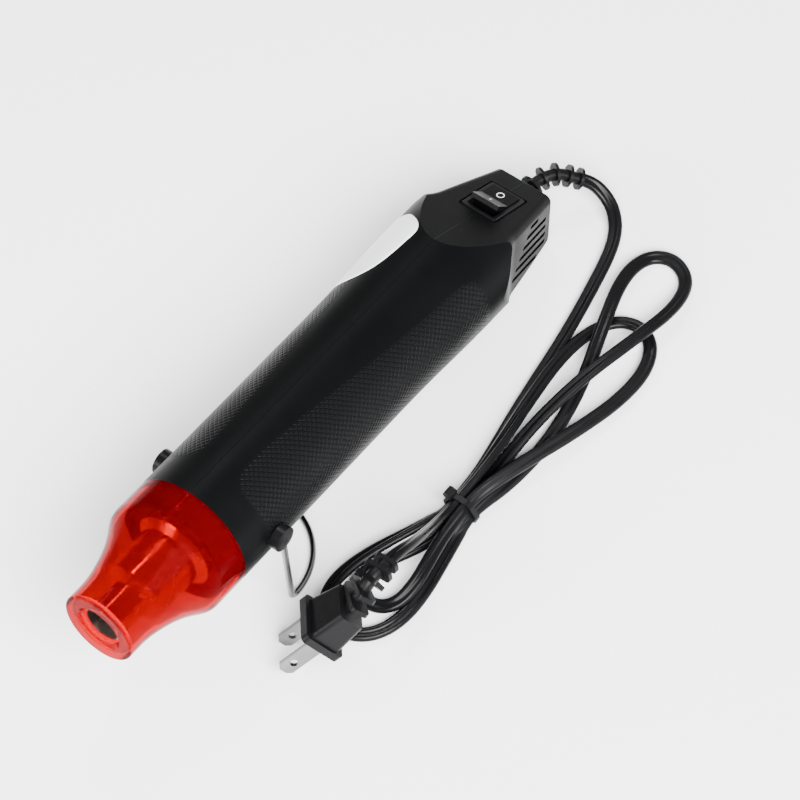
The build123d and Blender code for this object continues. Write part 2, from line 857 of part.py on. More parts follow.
# Bail: two legs, two bends and a half-round foot that lies on the surface
leg_half = leg_spacing / 2
foot_start = pivot_point.X + leg_bend_radius
bend_share = 1 - math.sqrt(0.5)
with BuildPart() as bail_stand:
    with BuildLine() as bail_path:
        right_leg = Line(
            (pivot_point.X, -leg_half, pivot_height + wire_socket_height),
            (pivot_point.X, -leg_half, wire_radius + leg_bend_radius),
        )
        right_bend = ThreePointArc(
            right_leg @ 1,
            (pivot_point.X + bend_share * leg_bend_radius, -leg_half, wire_radius + bend_share * leg_bend_radius),
            (foot_start, -leg_half, wire_radius),
        )
        foot = ThreePointArc(
            right_bend @ 1,
            (foot_start + leg_half, 0, wire_radius),
            (foot_start, leg_half, wire_radius),
        )
        left_bend = ThreePointArc(
            foot @ 1,
            (pivot_point.X + bend_share * leg_bend_radius, leg_half, wire_radius + bend_share * leg_bend_radius),
            (pivot_point.X, leg_half, wire_radius + leg_bend_radius),
        )
        Line(left_bend @ 1, (pivot_point.X, leg_half, pivot_height + wire_socket_height))
    with BuildSketch(Plane(origin=right_leg @ 0, z_dir=right_leg % 0)):
        Circle(wire_radius)
    sweep(path=bail_path.wire())
bail_stand.part.label = "bail_stand"


def pivot_cap(side):
    """Cap that holds one leg and turns in the shell, on the side given by a sign."""
    outward = left * side
    cap_plane = Plane(origin=pivot_point, x_dir=outward, z_dir=outward.cross(Vector(0, 0, 1)))
    with BuildPart() as cap:
        with BuildSketch(cap_plane):
            with BuildLine():
                dome = ThreePointArc(
                    (cap_side_end, cap_radius),
                    (cap_crown - (cap_crown - cap_side_end) / 4, cap_radius / 2),
                    (cap_crown, 0),
                )
                Polyline(
                    dome @ 1,
                    (pin_head_start, 0),
                    (pin_head_start, spigot_pin_radius),
                    (pin_head_end, pin_head_radius),
                    (pin_head_end, spigot_pin_radius),
                    (cap_face, spigot_pin_radius),
                    (cap_face, cap_radius),
                    dome @ 0,
                )
            make_face()
        revolve(axis=pivot_axis)
        with BuildSketch(Plane(origin=pivot_point + outward * leg_half - Vector(0, 0, 2 * cap_radius))):
            Circle(wire_radius)
        extrude(amount=2 * cap_radius + wire_socket_height, mode=Mode.SUBTRACT)
    return cap.part


with BuildPart() as left_pivot_cap:
    add(pivot_cap(1))
left_pivot_cap.part.label = "left_pivot_cap"

with BuildPart() as right_pivot_cap:
    add(pivot_cap(-1))
right_pivot_cap.part.label = "right_pivot_cap"

with BuildPart() as housing_screws:
    for station in screw_places:
        with BuildSketch(left_facing(station, -screw_reach, screw_height)):
            Circle(screw_shank_radius)
        extrude(amount=screw_reach + screw_seat)
        with BuildSketch(left_facing(station, screw_seat, screw_height)):
            Circle(screw_head_radius)
        extrude(amount=screw_head_height)
        with BuildSketch(left_facing(station, screw_seat + screw_head_height - screw_slot_depth, screw_height)):
            Rectangle(screw_head_radius, screw_slot_width)
            Rectangle(screw_slot_width, screw_head_radius)
        extrude(amount=screw_slot_depth, mode=Mode.SUBTRACT)
housing_screws.part.label = "housing_screws"

with BuildPart() as side_label:
    add(body_form(-label_thickness, spigot_front, spigot_radius, 0, 0, 0))
    with BuildSketch(Plane(origin=tool_origin, x_dir=along, z_dir=-left)):
        with BuildLine():
            label_edge = Spline(*label_top_points)
            Polyline(
                label_edge @ 1,
                (label_top_points[-1][0], label_bottom),
                (label_top_points[0][0], label_bottom),
                label_edge @ 0,
            )
        make_face()
    extrude(amount=-overrun, mode=Mode.INTERSECT)
    add(outer_form.part, mode=Mode.SUBTRACT)
side_label.part.label = "side_label"


def corner_radii(points, share=cord_limit_share):
    """Radius at each inner corner of a route: a share of its shorter run, over the tangent of half its turn."""
    radii = []
    for before, corner, after in zip(points, points[1:], points[2:]):
        run_in = Vector(*corner) - Vector(*before)
        run_out = Vector(*after) - Vector(*corner)
        turn = math.radians(run_in.get_angle(run_out))
        radii.append(share * min(run_in.length, run_out.length) / math.tan(turn / 2))
    return radii


relief_base = spot(body_length, 0, relief_height)
with BuildPart() as strain_relief:
    relief_route = [tuple(relief_base), *relief_points]
    with BuildLine() as relief_line:
        FilletPolyline(*relief_route, radius=corner_radii(relief_route))
    relief_path = relief_line.wire()
    with BuildSketch(Plane(origin=relief_path @ 0, z_dir=relief_path % 0)):
        Circle(relief_core_radius)
    sweep(path=relief_path)
    rib_count = len(relief_rib_radii)
    for number, radius in enumerate(relief_rib_radii):
        share = (number + 1) / rib_count
        inward = -1 if number == rib_count - 1 else 0
        with BuildSketch(Plane(origin=relief_path @ share, z_dir=relief_path % share)):
            Circle(radius)
        if inward:
            extrude(amount=-relief_rib_thickness)
        else:
            extrude(amount=relief_rib_thickness / 2, both=True)
    # Flanges on both faces of the rear wall, and the neck between them
    with BuildSketch(across(body_length, 0, relief_height)):
        Circle(relief_flange_radius)
    extrude(amount=relief_flange_thickness)
    with BuildSketch(across(body_length - wall - relief_flange_thickness, 0, relief_height)):
        Circle(relief_flange_radius)
    extrude(amount=relief_flange_thickness)
    with BuildSketch(across(body_length - wall - relief_flange_thickness, 0, relief_height)):
        Circle(relief_hole_radius)
    extrude(amount=wall + relief_flange_thickness)
strain_relief.part.label = "strain_relief"

clamp_bar_base = clamp_base + 2 * relief_core_radius
with BuildPart() as cord_clamp:
    with BuildSketch(across(clamp_place, 0, clamp_base + (clamp_bar_base - clamp_base + clamp_thickness) / 2)):
        Rectangle(clamp_width, clamp_bar_base - clamp_base + clamp_thickness)
        with Locations((0, -clamp_thickness / 2)):
            Rectangle(clamp_width - 2 * clamp_post_width, clamp_bar_base - clamp_base, mode=Mode.SUBTRACT)
    extrude(amount=clamp_length)
cord_clamp.part.label = "cord_clamp"

with BuildPart() as clamp_screws:
    clamp_top = clamp_bar_base + clamp_thickness
    screw_side = (clamp_width - clamp_post_width) / 2
    for side in (-screw_side, screw_side):
        with BuildSketch(Plane(origin=spot(clamp_place + clamp_length / 2, side, clamp_top), x_dir=along, z_dir=rise)):
            Circle(clamp_screw_head_radius)
        extrude(amount=clamp_screw_head_height)
clamp_screws.part.label = "clamp_screws"

with BuildPart() as inner_cord:
    inner_cord_start = clamp_place - inner_cord_reach
    with BuildSketch(across(inner_cord_start, 0, relief_height)):
        Circle(relief_core_radius)
    extrude(amount=body_length - wall - relief_flange_thickness - inner_cord_start)
inner_cord.part.label = "inner_cord"


def lead_route(side):
    """Route of one heater lead, from the board past the motor and blower to the heater."""
    return [
        spot(board_start, side * board_width / 4, board_top + lead_radius + seat_clearance),
        spot(board_start - lead_bend_radius, side * board_width / 4, board_top + lead_radius + seat_clearance),
        spot(board_start - 3 * lead_bend_radius, side * lead_side, 0),
        spot(rear_ring_start - lead_bend_radius, side * lead_side, 0),
    ]


with BuildPart() as heater_wires:
    for side in (-1, 1):
        with BuildLine() as lead_line:
            FilletPolyline(*lead_route(side), radius=lead_bend_radius)
        with BuildSketch(Plane(origin=lead_line.wire() @ 0, z_dir=lead_line.wire() % 0)):
            Circle(lead_radius)
        sweep(path=lead_line.wire())
heater_wires.part.label = "heater_wires"


def cord_tube(path):
    """Tube of the cord along a path."""
    with BuildPart() as tube:
        with BuildSketch(Plane(origin=path @ 0, z_dir=path % 0)):
            Circle(cord_diameter / 2)
        sweep(path=path)
    return tube.part


def cord_path(points):
    """Straight runs joined by tangent arcs."""
    with BuildLine() as line:
        FilletPolyline(*points, radius=corner_radii(points))
    return line.wire()


cord_area = math.pi * (cord_diameter / 2) ** 2



def exit_points(sleeve_points):
    """Last point of a sleeve's route, and one straight on from it."""
    end = Vector(*sleeve_points[-1])
    heading = (end - Vector(*sleeve_points[-2])).normalized()
    return tuple(end), tuple(end + heading * exit_run)


lead_points = [*exit_points(relief_points), *lead_floor_points]
lead_path = cord_path(lead_points)
with BuildPart() as cord_lead:
    add(cord_tube(lead_path))
cord_lead.part.label = "cord_lead"

tail_points = [*tail_rising_points, *reversed(exit_points(plug_relief_points))]
tail_path = cord_path(tail_points)
with BuildPart() as cord_tail:
    add(cord_tube(tail_path))
cord_tail.part.label = "cord_tail"

for name, points, path, piece in (
    ("cord_lead", lead_points, lead_path, cord_lead),
    ("cord_tail", tail_points, tail_path, cord_tail),
):
    print(name, "radii", [round(radius, 1) for radius in corner_radii(points)])
    print(name, "length", round(path.length, 1))
    print(name, "volume", round(piece.part.volume, 1), "expected", round(cord_area * path.length, 1))


def lane(side, layer):
    """Side offset and height of one strand inside the tie."""
    return (side * lane_pitch, lane_high if layer else lane_low)


def loop_points(loop, lane_out, lane_back):
    """Points of one teardrop loop that leaves the tie in one lane and comes back in another.

    Reach is its length, heading its direction in the plan, spread its half width, crossing how far its legs change
    sides on the way, drift how far both bend to one side, and heights lift it over other strands. Steps beside the
    tie are left out, where the strand is still straight.
    """
    reach, heading, spread, crossing, drift, heights = loop
    ahead = Vector(math.cos(math.radians(heading)), math.sin(math.radians(heading)), 0)
    aside = Vector(-ahead.Y, ahead.X, 0)
    points = []
    for number, height in enumerate(heights):
        turn = 2 * math.pi * (loop_first_step + number) / loop_steps
        out = math.sin(turn / 2) ** 2
        if reach * out < 2 * lane_straight:
            continue
        belly = 4 * out * (1 - out)
        swing = math.sin(turn) * (spread * out - crossing * belly) + drift * belly
        lane_side = lane_out[0] if turn <= math.pi else lane_back[0]
        place = Vector(*tie_place) + ahead * (reach * out) + aside * swing + left * (lane_side * (1 - out) ** 2)
        points.append((place.X, place.Y, height))
    return points


def lane_pass(lane_here, direction):
    """Two points that lead one strand straight through the tie, towards +X or -X."""
    side, height = lane_here
    return [
        (tie_place[0] - direction * lane_straight, tie_place[1] + side, height),
        (tie_place[0] + direction * lane_straight, tie_place[1] + side, height),
    ]


lanes = (lane(1, 0), lane(-1, 0), lane(0, 0), lane(-0.5, 1), lane(0.5, 1))
hank_points = [(tie_place[0], tie_place[1] + lanes[0][0], lanes[0][1]), lane_pass(lanes[0], -1)[1]]
for number, loop in enumerate(hank_loops):
    direction = 1 if number % 2 == 0 else -1
    hank_points += loop_points(loop, lanes[number], lanes[number + 1])
    hank_points += lane_pass(lanes[number + 1], direction)
hank_points[-1] = (tie_place[0], tie_place[1] + lanes[-1][0], lanes[-1][1])
hank_path = cord_path(hank_points)
hank_radii = corner_radii(hank_points)
print("cord_hank smallest radii", [round(radius, 1) for radius in sorted(hank_radii)[:6]])


def least_gap(path):
    """Least gap of a tube to itself, measured on points along its path."""
    count = int(path.length / gap_spacing)
    places = [path @ (number / count) for number in range(count + 1)]
    apart = int(3 * cord_diameter / gap_spacing)
    least = min(
        (places[one] - places[two]).length
        for one in range(count + 1)
        for two in range(one + apart, count + 1)
    )
    return least - cord_diameter


print("cord_hank length", round(hank_path.length, 1), "least gap to itself", round(least_gap(hank_path), 2))
with BuildPart() as cord_hank:
    add(cord_tube(hank_path))
cord_hank.part.label = "cord_hank"
print("cord_hank volume", round(cord_hank.part.volume, 1), "expected", round(cord_area * hank_path.length, 1))

# Taut band round the strands, with a twist at its side
with BuildPart() as cord_tie:
    tie_plane = Plane(origin=tie_place, x_dir=left, z_dir=(1, 0, 0))
    tie_inner = cord_diameter / 2 + tie_clearance
    with BuildSketch(tie_plane):
        with Locations(*lanes):
            Circle(tie_inner + tie_thickness)
        make_hull()
    extrude(amount=tie_length / 2, both=True)
    with BuildSketch(tie_plane):
        with Locations(*lanes):
            Circle(tie_inner)
        make_hull()
    extrude(amount=tie_length / 2, both=True, mode=Mode.SUBTRACT)
    with BuildSketch(tie_plane.offset(-tie_knot_length / 2)):
        knot_offset = (tie_inner + tie_knot_radius) / math.sqrt(2)
        with Locations((lanes[-1][0] + knot_offset, lanes[-1][1] + knot_offset)):
            Circle(tie_knot_radius)
    extrude(amount=tie_knot_length)
cord_tie.part.label = "cord_tie"

plug_centre = Vector(*plug_place)
plug_along = Vector(*plug_axis).normalized()
plug_across = Vector(*plug_stack)
plug_across = (plug_across - plug_along * plug_across.dot(plug_along)).normalized()


def on_plug(depth):
    """Plane square to the plug's axis, at a depth behind its face."""
    return Plane(origin=plug_centre + plug_along * depth, x_dir=plug_across, z_dir=plug_along)


with BuildPart() as plug_body:
    with BuildSketch(on_plug(0)):
        RectangleRounded(flange_length, flange_width, flange_corner)
    extrude(amount=flange_thickness)
    with BuildSketch(on_plug(flange_thickness)):
        RectangleRounded(plug_front_length, plug_front_width, plug_corner)
    with BuildSketch(on_plug(flange_thickness + plug_body_length)):
        RectangleRounded(plug_rear_length, plug_rear_width, plug_corner)
    loft()
    plug_route = [tuple(plug_centre + plug_along * (plug_body_length / 2)), *plug_relief_points]
    with BuildLine() as plug_line:
        FilletPolyline(*plug_route, radius=corner_radii(plug_route))
    plug_path = plug_line.wire()
    with BuildSketch(Plane(origin=plug_path @ 0, z_dir=plug_path % 0)):
        Circle(plug_relief_core)
    sweep(path=plug_path)
    plug_ribs = len(plug_rib_lengths)
    body_share = (flange_thickness + plug_body_length / 2) / plug_path.length
    for number, rib_length_here in enumerate(plug_rib_lengths):
        share = body_share + (1 - body_share) * (number + 1) / plug_ribs
        rib_width_here = plug_rib_width + (plug_rib_end_width - plug_rib_width) * number / (plug_ribs - 1)
        with BuildSketch(Plane(origin=plug_path @ share, x_dir=plug_across, z_dir=plug_path % share)):
            RectangleRounded(rib_length_here, rib_width_here, plug_rib_end_width / 3)
        extrude(amount=-plug_rib_thickness)
    with BuildSketch(on_plug(0)):
        with Locations((-blade_spacing / 2, 0), (blade_spacing / 2, 0)):
            Rectangle(blade_thickness, blade_width)
    extrude(amount=blade_root, mode=Mode.SUBTRACT)
plug_body.part.label = "plug_body"

plug_side = plug_along.cross(plug_across)
with BuildPart() as plug_blades:
    for side in (-1, 1):
        blade_middle = plug_centre + plug_across * (side * blade_spacing / 2)
        with BuildSketch(Plane(origin=blade_middle, x_dir=-plug_along, z_dir=plug_across)):
            Polygon(
                (-blade_root, -blade_width / 2),
                (blade_length - blade_corner, -blade_width / 2),
                (blade_length, blade_corner - blade_width / 2),
                (blade_length, blade_width / 2 - blade_corner),
                (blade_length - blade_corner, blade_width / 2),
                (-blade_root, blade_width / 2),
                align=None,
            )
            with Locations((blade_hole_place, 0)):
                Circle(blade_hole_radius, mode=Mode.SUBTRACT)
        extrude(amount=blade_thickness / 2, both=True)
plug_blades.part.label = "plug_blades"

pieces = (
    left_shell,
    right_shell,
    nozzle_guard,
    steel_nozzle,
    front_ring,
    rear_ring,
    mica_sleeve,
    heater_former,
    heating_coil,
    thermal_cutout,
    fan_shroud,
    fan_impeller,
    motor_shaft,
    motor_can,
    motor_magnets,
    motor_armature,
    motor_end_cap,
    motor_cradle,
    rectifier_board,
    rectifier_diodes,
    smoothing_capacitor,
    switch_body,
    switch_rocker,
    switch_terminals,
    bail_stand,
    left_pivot_cap,
    right_pivot_cap,
    housing_screws,
    side_label,
    strain_relief,
    cord_clamp,
    clamp_screws,
    inner_cord,
    heater_wires,
    cord_lead,
    cord_hank,
    cord_tail,
    cord_tie,
    plug_body,
    plug_blades,
)
for piece in pieces:
    export_step(piece.part, f"parts/{piece.part.label}.step")
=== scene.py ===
"""Looks of the embossing heat tool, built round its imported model."""

import json
import logging
import math
from dataclasses import dataclass
from enum import Enum
from typing import ClassVar

import bmesh
import bpy
from mathutils import Matrix, Vector


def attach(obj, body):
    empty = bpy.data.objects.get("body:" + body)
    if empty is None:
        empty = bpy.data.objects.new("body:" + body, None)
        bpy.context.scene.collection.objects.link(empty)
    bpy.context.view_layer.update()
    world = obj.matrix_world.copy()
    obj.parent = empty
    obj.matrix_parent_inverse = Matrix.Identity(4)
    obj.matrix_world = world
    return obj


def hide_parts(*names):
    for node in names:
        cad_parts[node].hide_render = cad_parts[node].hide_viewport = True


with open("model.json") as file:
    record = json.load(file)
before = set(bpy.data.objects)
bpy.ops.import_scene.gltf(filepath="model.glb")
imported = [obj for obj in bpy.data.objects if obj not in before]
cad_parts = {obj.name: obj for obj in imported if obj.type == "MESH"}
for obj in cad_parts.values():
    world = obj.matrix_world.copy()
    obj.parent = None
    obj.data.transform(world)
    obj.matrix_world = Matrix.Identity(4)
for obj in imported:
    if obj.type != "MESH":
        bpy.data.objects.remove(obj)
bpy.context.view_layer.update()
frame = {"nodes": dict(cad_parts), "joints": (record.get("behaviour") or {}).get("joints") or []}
LOG = logging.getLogger("heat_tool")
MM = 0.001
# Sockets of a Mix node that mixes colours
MIX_FIRST = 6
MIX_SECOND = 7
MIX_RESULT = 2

Colour = tuple[float, float, float]
Place = tuple[float, float, float]
Socket = bpy.types.NodeSocket
Inputs = tuple[tuple[str, str, float | None], ...]


def point(x: float, y: float, z: float) -> Vector:
    """A place given in millimetres, in metres."""
    return Vector((x, y, z)) * MM


def find_joint(name: str) -> dict:
    """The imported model's joint of that name."""
    return next(joint for joint in frame["joints"] if joint["name"] == name)


@dataclass(frozen=True)
class ToolAxes:
    """The tool's own directions: along from the rim to the tail, and rise towards the top.

    The origin is in millimetres, as in the part's source.
    """

    origin: Place = (-119.70467, 0.0, 50.47616)
    tilt: float = math.radians(6.5)

    @property
    def along(self) -> Vector:
        """Direction from the front rim to the tail."""
        return Vector((math.cos(self.tilt), 0.0, -math.sin(self.tilt)))

    @property
    def rise(self) -> Vector:
        """Direction from the tool's axis to its top."""
        return Vector((math.sin(self.tilt), 0.0, math.cos(self.tilt)))


AXES = ToolAxes()


class Sheet:
    """One node tree that is being drawn."""

    def __init__(self, tree: bpy.types.NodeTree) -> None:
        """Keeps the tree."""
        self.tree = tree

    def add(self, kind: str, inputs: dict | None = None, **settings: object) -> bpy.types.Node:
        """Adds a node.

        Args:
            kind: The node's type name.
            inputs: Values for its sockets, by name or number.
            settings: Its own properties.

        Returns:
            The new node.
        """
        node = self.tree.nodes.new(kind)
        for name, value in settings.items():
            setattr(node, name, value)
        for name, value in (inputs or {}).items():
            node.inputs[name].default_value = value
        return node

    def link(self, start: Socket, end: Socket) -> None:
        """Joins two sockets."""
        self.tree.links.new(start, end)

    def math(self, operation: str, *values: Socket | float) -> Socket:
        """A Math node on sockets or numbers.

        Args:
            operation: The node's operation.
            values: One to three sockets or numbers, as the operation asks.

        Returns:
            Its result.
        """
        node = self.add("ShaderNodeMath", operation=operation)
        for socket, value in zip(node.inputs, values):
            if isinstance(value, Socket):
                self.link(value, socket)
            else:
                socket.default_value = value
        return node.outputs[0]

    def step(self, value: Socket, low: float, high: float, start: float = 0.0, end: float = 1.0) -> Socket:
        """A smooth step of a value from low to high.

        Args:
            value: The socket that is read.
            low: Where the step starts.
            high: Where it ends.
            start: Result below it.
            end: Result over it.

        Returns:
            The result.
        """
        node = self.add("ShaderNodeMapRange", interpolation_type="SMOOTHSTEP", clamp=True)
        self.link(value, node.inputs[0])
        for number, amount in enumerate((low, high, start, end)):
            node.inputs[number + 1].default_value = amount
        return node.outputs[0]

    def blend(self, share: Socket, first: Colour, second: Colour) -> Socket:
        """A mix of two colours.

        Args:
            share: How much of the second colour shows, from 0 to 1.
            first: The first colour.
            second: The second colour.

        Returns:
            The mixed colour.
        """
        mix = self.add("ShaderNodeMix", data_type="RGBA")
        mix.inputs[MIX_FIRST].default_value = (*first, 1.0)
        mix.inputs[MIX_SECOND].default_value = (*second, 1.0)
        self.link(share, mix.inputs[0])
        return mix.outputs[MIX_RESULT]


@dataclass(frozen=True)
class SharedEffect:
    """A node group with named sockets, made once.

    Each input is its name, its socket's type and its value, which a vector doesn't have.
    """

    name: str = "effect"
    inputs: Inputs = ()
    outputs: tuple[str, ...] = ()

    def tree(self) -> bpy.types.NodeTree:
        """The group's node tree, drawn at its first use."""
        found = bpy.data.node_groups.get(self.name)
        if found:
            return found
        group = bpy.data.node_groups.new(self.name, "ShaderNodeTree")
        for name, kind, value in self.inputs:
            socket = group.interface.new_socket(name, in_out="INPUT", socket_type=kind)
            if value is not None:
                socket.default_value = value
        for name in self.outputs:
            group.interface.new_socket(name, in_out="OUTPUT", socket_type="NodeSocketFloat")
        sheet = Sheet(group)
        self.draw(sheet, sheet.add("NodeGroupInput"), sheet.add("NodeGroupOutput"))
        return group

    def draw(self, sheet: Sheet, source: bpy.types.Node, target: bpy.types.Node) -> None:
        """Draws the effect between its input and output nodes."""
        raise NotImplementedError

    def place(self, sheet: Sheet, vector: Socket, values: dict[str, float]) -> bpy.types.Node:
        """Places the group in a material.

        Args:
            sheet: The material's node tree.
            vector: Coordinates that the effect follows.
            values: Values of its other inputs.

        Returns:
            The group's node.
        """
        node = sheet.add("ShaderNodeGroup", values, node_tree=self.tree())
        sheet.link(vector, node.inputs["Vector"])
        return node


@dataclass(frozen=True)
class MouldedGrain(SharedEffect):
    """Fine grain of moulded plastic, with slow unevenness."""

    name: str = "moulded_grain"
    inputs: Inputs = (
        ("Vector", "NodeSocketVector", None),
        ("Scale", "NodeSocketFloat", 1500.0),
        ("Patch Scale", "NodeSocketFloat", 40.0),
    )
    outputs: tuple[str, ...] = ("Height", "Patches")
    fine_detail: float = 3.0
    fine_roughness: float = 0.6
    coarse_detail: float = 4.0
    coarse_roughness: float = 0.55
    coarse_distortion: float = 0.3
    patch_low: float = 0.3
    patch_high: float = 0.7

    def draw(self, sheet: Sheet, source: bpy.types.Node, target: bpy.types.Node) -> None:
        """Draws two noises: a fine one for the height and a coarse one for the patches.

        Args:
            sheet: The group's node tree.
            source: Its input node.
            target: Its output node.
        """
        fine = sheet.add("ShaderNodeTexNoise", {"Detail": self.fine_detail, "Roughness": self.fine_roughness})
        coarse = sheet.add(
            "ShaderNodeTexNoise",
            {
                "Detail": self.coarse_detail,
                "Roughness": self.coarse_roughness,
                "Distortion": self.coarse_distortion,
            },
        )
        for noise, scale in ((fine, "Scale"), (coarse, "Patch Scale")):
            sheet.link(source.outputs["Vector"], noise.inputs["Vector"])
            sheet.link(source.outputs[scale], noise.inputs["Scale"])
        sheet.link(fine.outputs[0], target.inputs["Height"])
        sheet.link(sheet.step(coarse.outputs[0], self.patch_low, self.patch_high), target.inputs["Patches"])


@dataclass(frozen=True)
class DiamondGrip(SharedEffect):
    """Small raised diamonds on both flanks, and the seam between the shells.

    Lengths are in millimetres on the tool's own coordinates, and angles in degrees from its top.
    """

    name: str = "diamond_grip"
    inputs: Inputs = (
        ("Vector", "NodeSocketVector", None),
        ("Pitch", "NodeSocketFloat", 2.4 * MM),
        ("Radius", "NodeSocketFloat", 23.5 * MM),
    )
    outputs: tuple[str, ...] = ("Height", "Seam")
    front_end: float = 61.0
    rear_end: float = 188.0
    upper_front: float = 16.0
    upper_rear: float = 41.0
    lower: float = 118.0
    edge: float = 3.0
    corner: float = 14.0
    half_turn: float = 0.5
    groove_low: float = 0.05
    groove_high: float = 0.5
    seam_reach: float = 0.14

    def ridges(self, sheet: Sheet, station: Socket, arc: Socket, pitch: Socket) -> Socket:
        """Height of two crossed sets of ridges.

        Args:
            sheet: The group's node tree.
            station: Place along the tool.
            arc: Place round the body.
            pitch: Distance from ridge to ridge.

        Returns:
            The height, from 0 in a groove to 1 on a diamond.
        """
        waves = []
        for sign in ("ADD", "SUBTRACT"):
            turns = sheet.math("DIVIDE", sheet.math(sign, station, arc), pitch)
            saw = sheet.math("PINGPONG", turns, self.half_turn)
            waves.append(sheet.math("DIVIDE", saw, self.half_turn))
        return sheet.step(sheet.math("MINIMUM", *waves), self.groove_low, self.groove_high)

    def area(self, sheet: Sheet, station: Socket, angle: Socket, radius: Socket) -> Socket:
        """Where the grip lies on a flank, with rounded ends.

        Args:
            sheet: The group's node tree.
            station: Place along the tool.
            angle: Angle from the top, the same on both sides.
            radius: The body's radius.

        Returns:
            1 inside the grip and 0 outside it.
        """
        start = math.radians(self.upper_front)
        end = math.radians(self.upper_rear)
        share = sheet.step(station, self.front_end * MM, self.rear_end * MM)
        upper = sheet.math("ADD", sheet.math("MULTIPLY", share, end - start), start)
        past_top = sheet.math("MULTIPLY", sheet.math("SUBTRACT", angle, upper), radius)
        low_angle = sheet.math("SUBTRACT", math.radians(self.lower), angle)
        before_low = sheet.math("MULTIPLY", low_angle, radius)
        from_front = sheet.math("SUBTRACT", station, self.front_end * MM)
        to_rear = sheet.math("SUBTRACT", self.rear_end * MM, station)
        inside = sheet.math("SMOOTH_MIN", past_top, from_front, self.corner * MM)
        inside = sheet.math("SMOOTH_MIN", inside, to_rear, self.corner * MM)
        inside = sheet.math("MINIMUM", inside, before_low)
        return sheet.step(inside, 0.0, self.edge * MM)

    def draw(self, sheet: Sheet, source: bpy.types.Node, target: bpy.types.Node) -> None:
        """Draws the diamonds inside their area, and a narrow dip in the mid-plane.

        Args:
            sheet: The group's node tree.
            source: Its input node.
            target: Its output node.
        """
        split = sheet.add("ShaderNodeSeparateXYZ")
        sheet.link(source.outputs["Vector"], split.inputs[0])
        station, side, height = split.outputs
        radius = source.outputs["Radius"]
        far = sheet.math("ABSOLUTE", side)
        arc = sheet.math("MULTIPLY", sheet.math("ARCTAN2", side, height), radius)
        ridges = self.ridges(sheet, station, arc, source.outputs["Pitch"])
        area = self.area(sheet, station, sheet.math("ARCTAN2", far, height), radius)
        sheet.link(sheet.math("MULTIPLY", ridges, area), target.inputs["Height"])
        sheet.link(sheet.step(far, 0.0, self.seam_reach * MM), target.inputs["Seam"])


@dataclass(frozen=True)
class BrushedLines(SharedEffect):
    """Fine lines of drawn metal along the tool's axis, with slow stains."""

    name: str = "brushed_lines"
    inputs: Inputs = (
        ("Vector", "NodeSocketVector", None),
        ("Scale", "NodeSocketFloat", 900.0),
    )
    outputs: tuple[str, ...] = ("Height", "Stain")
    squeeze: Place = (1.0, 0.04, 0.04)
    line_detail: float = 2.0
    stain_scale: float = 60.0
    stain_detail: float = 3.0
    stain_low: float = 0.35
    stain_high: float = 0.7

    def draw(self, sheet: Sheet, source: bpy.types.Node, target: bpy.types.Node) -> None:
        """Draws a noise that is drawn out across the axis, and a slow stain.

        Args:
            sheet: The group's node tree.
            source: Its input node.
            target: Its output node.
        """
        stretch = sheet.add("ShaderNodeMapping", {"Scale": self.squeeze})
        sheet.link(source.outputs["Vector"], stretch.inputs[0])
        lines = sheet.add("ShaderNodeTexNoise", {"Detail": self.line_detail})
        sheet.link(stretch.outputs[0], lines.inputs["Vector"])
        sheet.link(source.outputs["Scale"], lines.inputs["Scale"])
        stain = sheet.add("ShaderNodeTexNoise", {"Scale": self.stain_scale, "Detail": self.stain_detail})
        sheet.link(source.outputs["Vector"], stain.inputs["Vector"])
        sheet.link(lines.outputs[0], target.inputs["Height"])
        sheet.link(sheet.step(stain.outputs[0], self.stain_low, self.stain_high), target.inputs["Stain"])


GRAIN = MouldedGrain()
GRIP = DiamondGrip()
LINES = BrushedLines()


class Coordinates(Enum):
    """Which coordinates a pattern follows: the model's own, or the tool's along its axis."""

    MODEL = "model"
    TOOL = "tool"


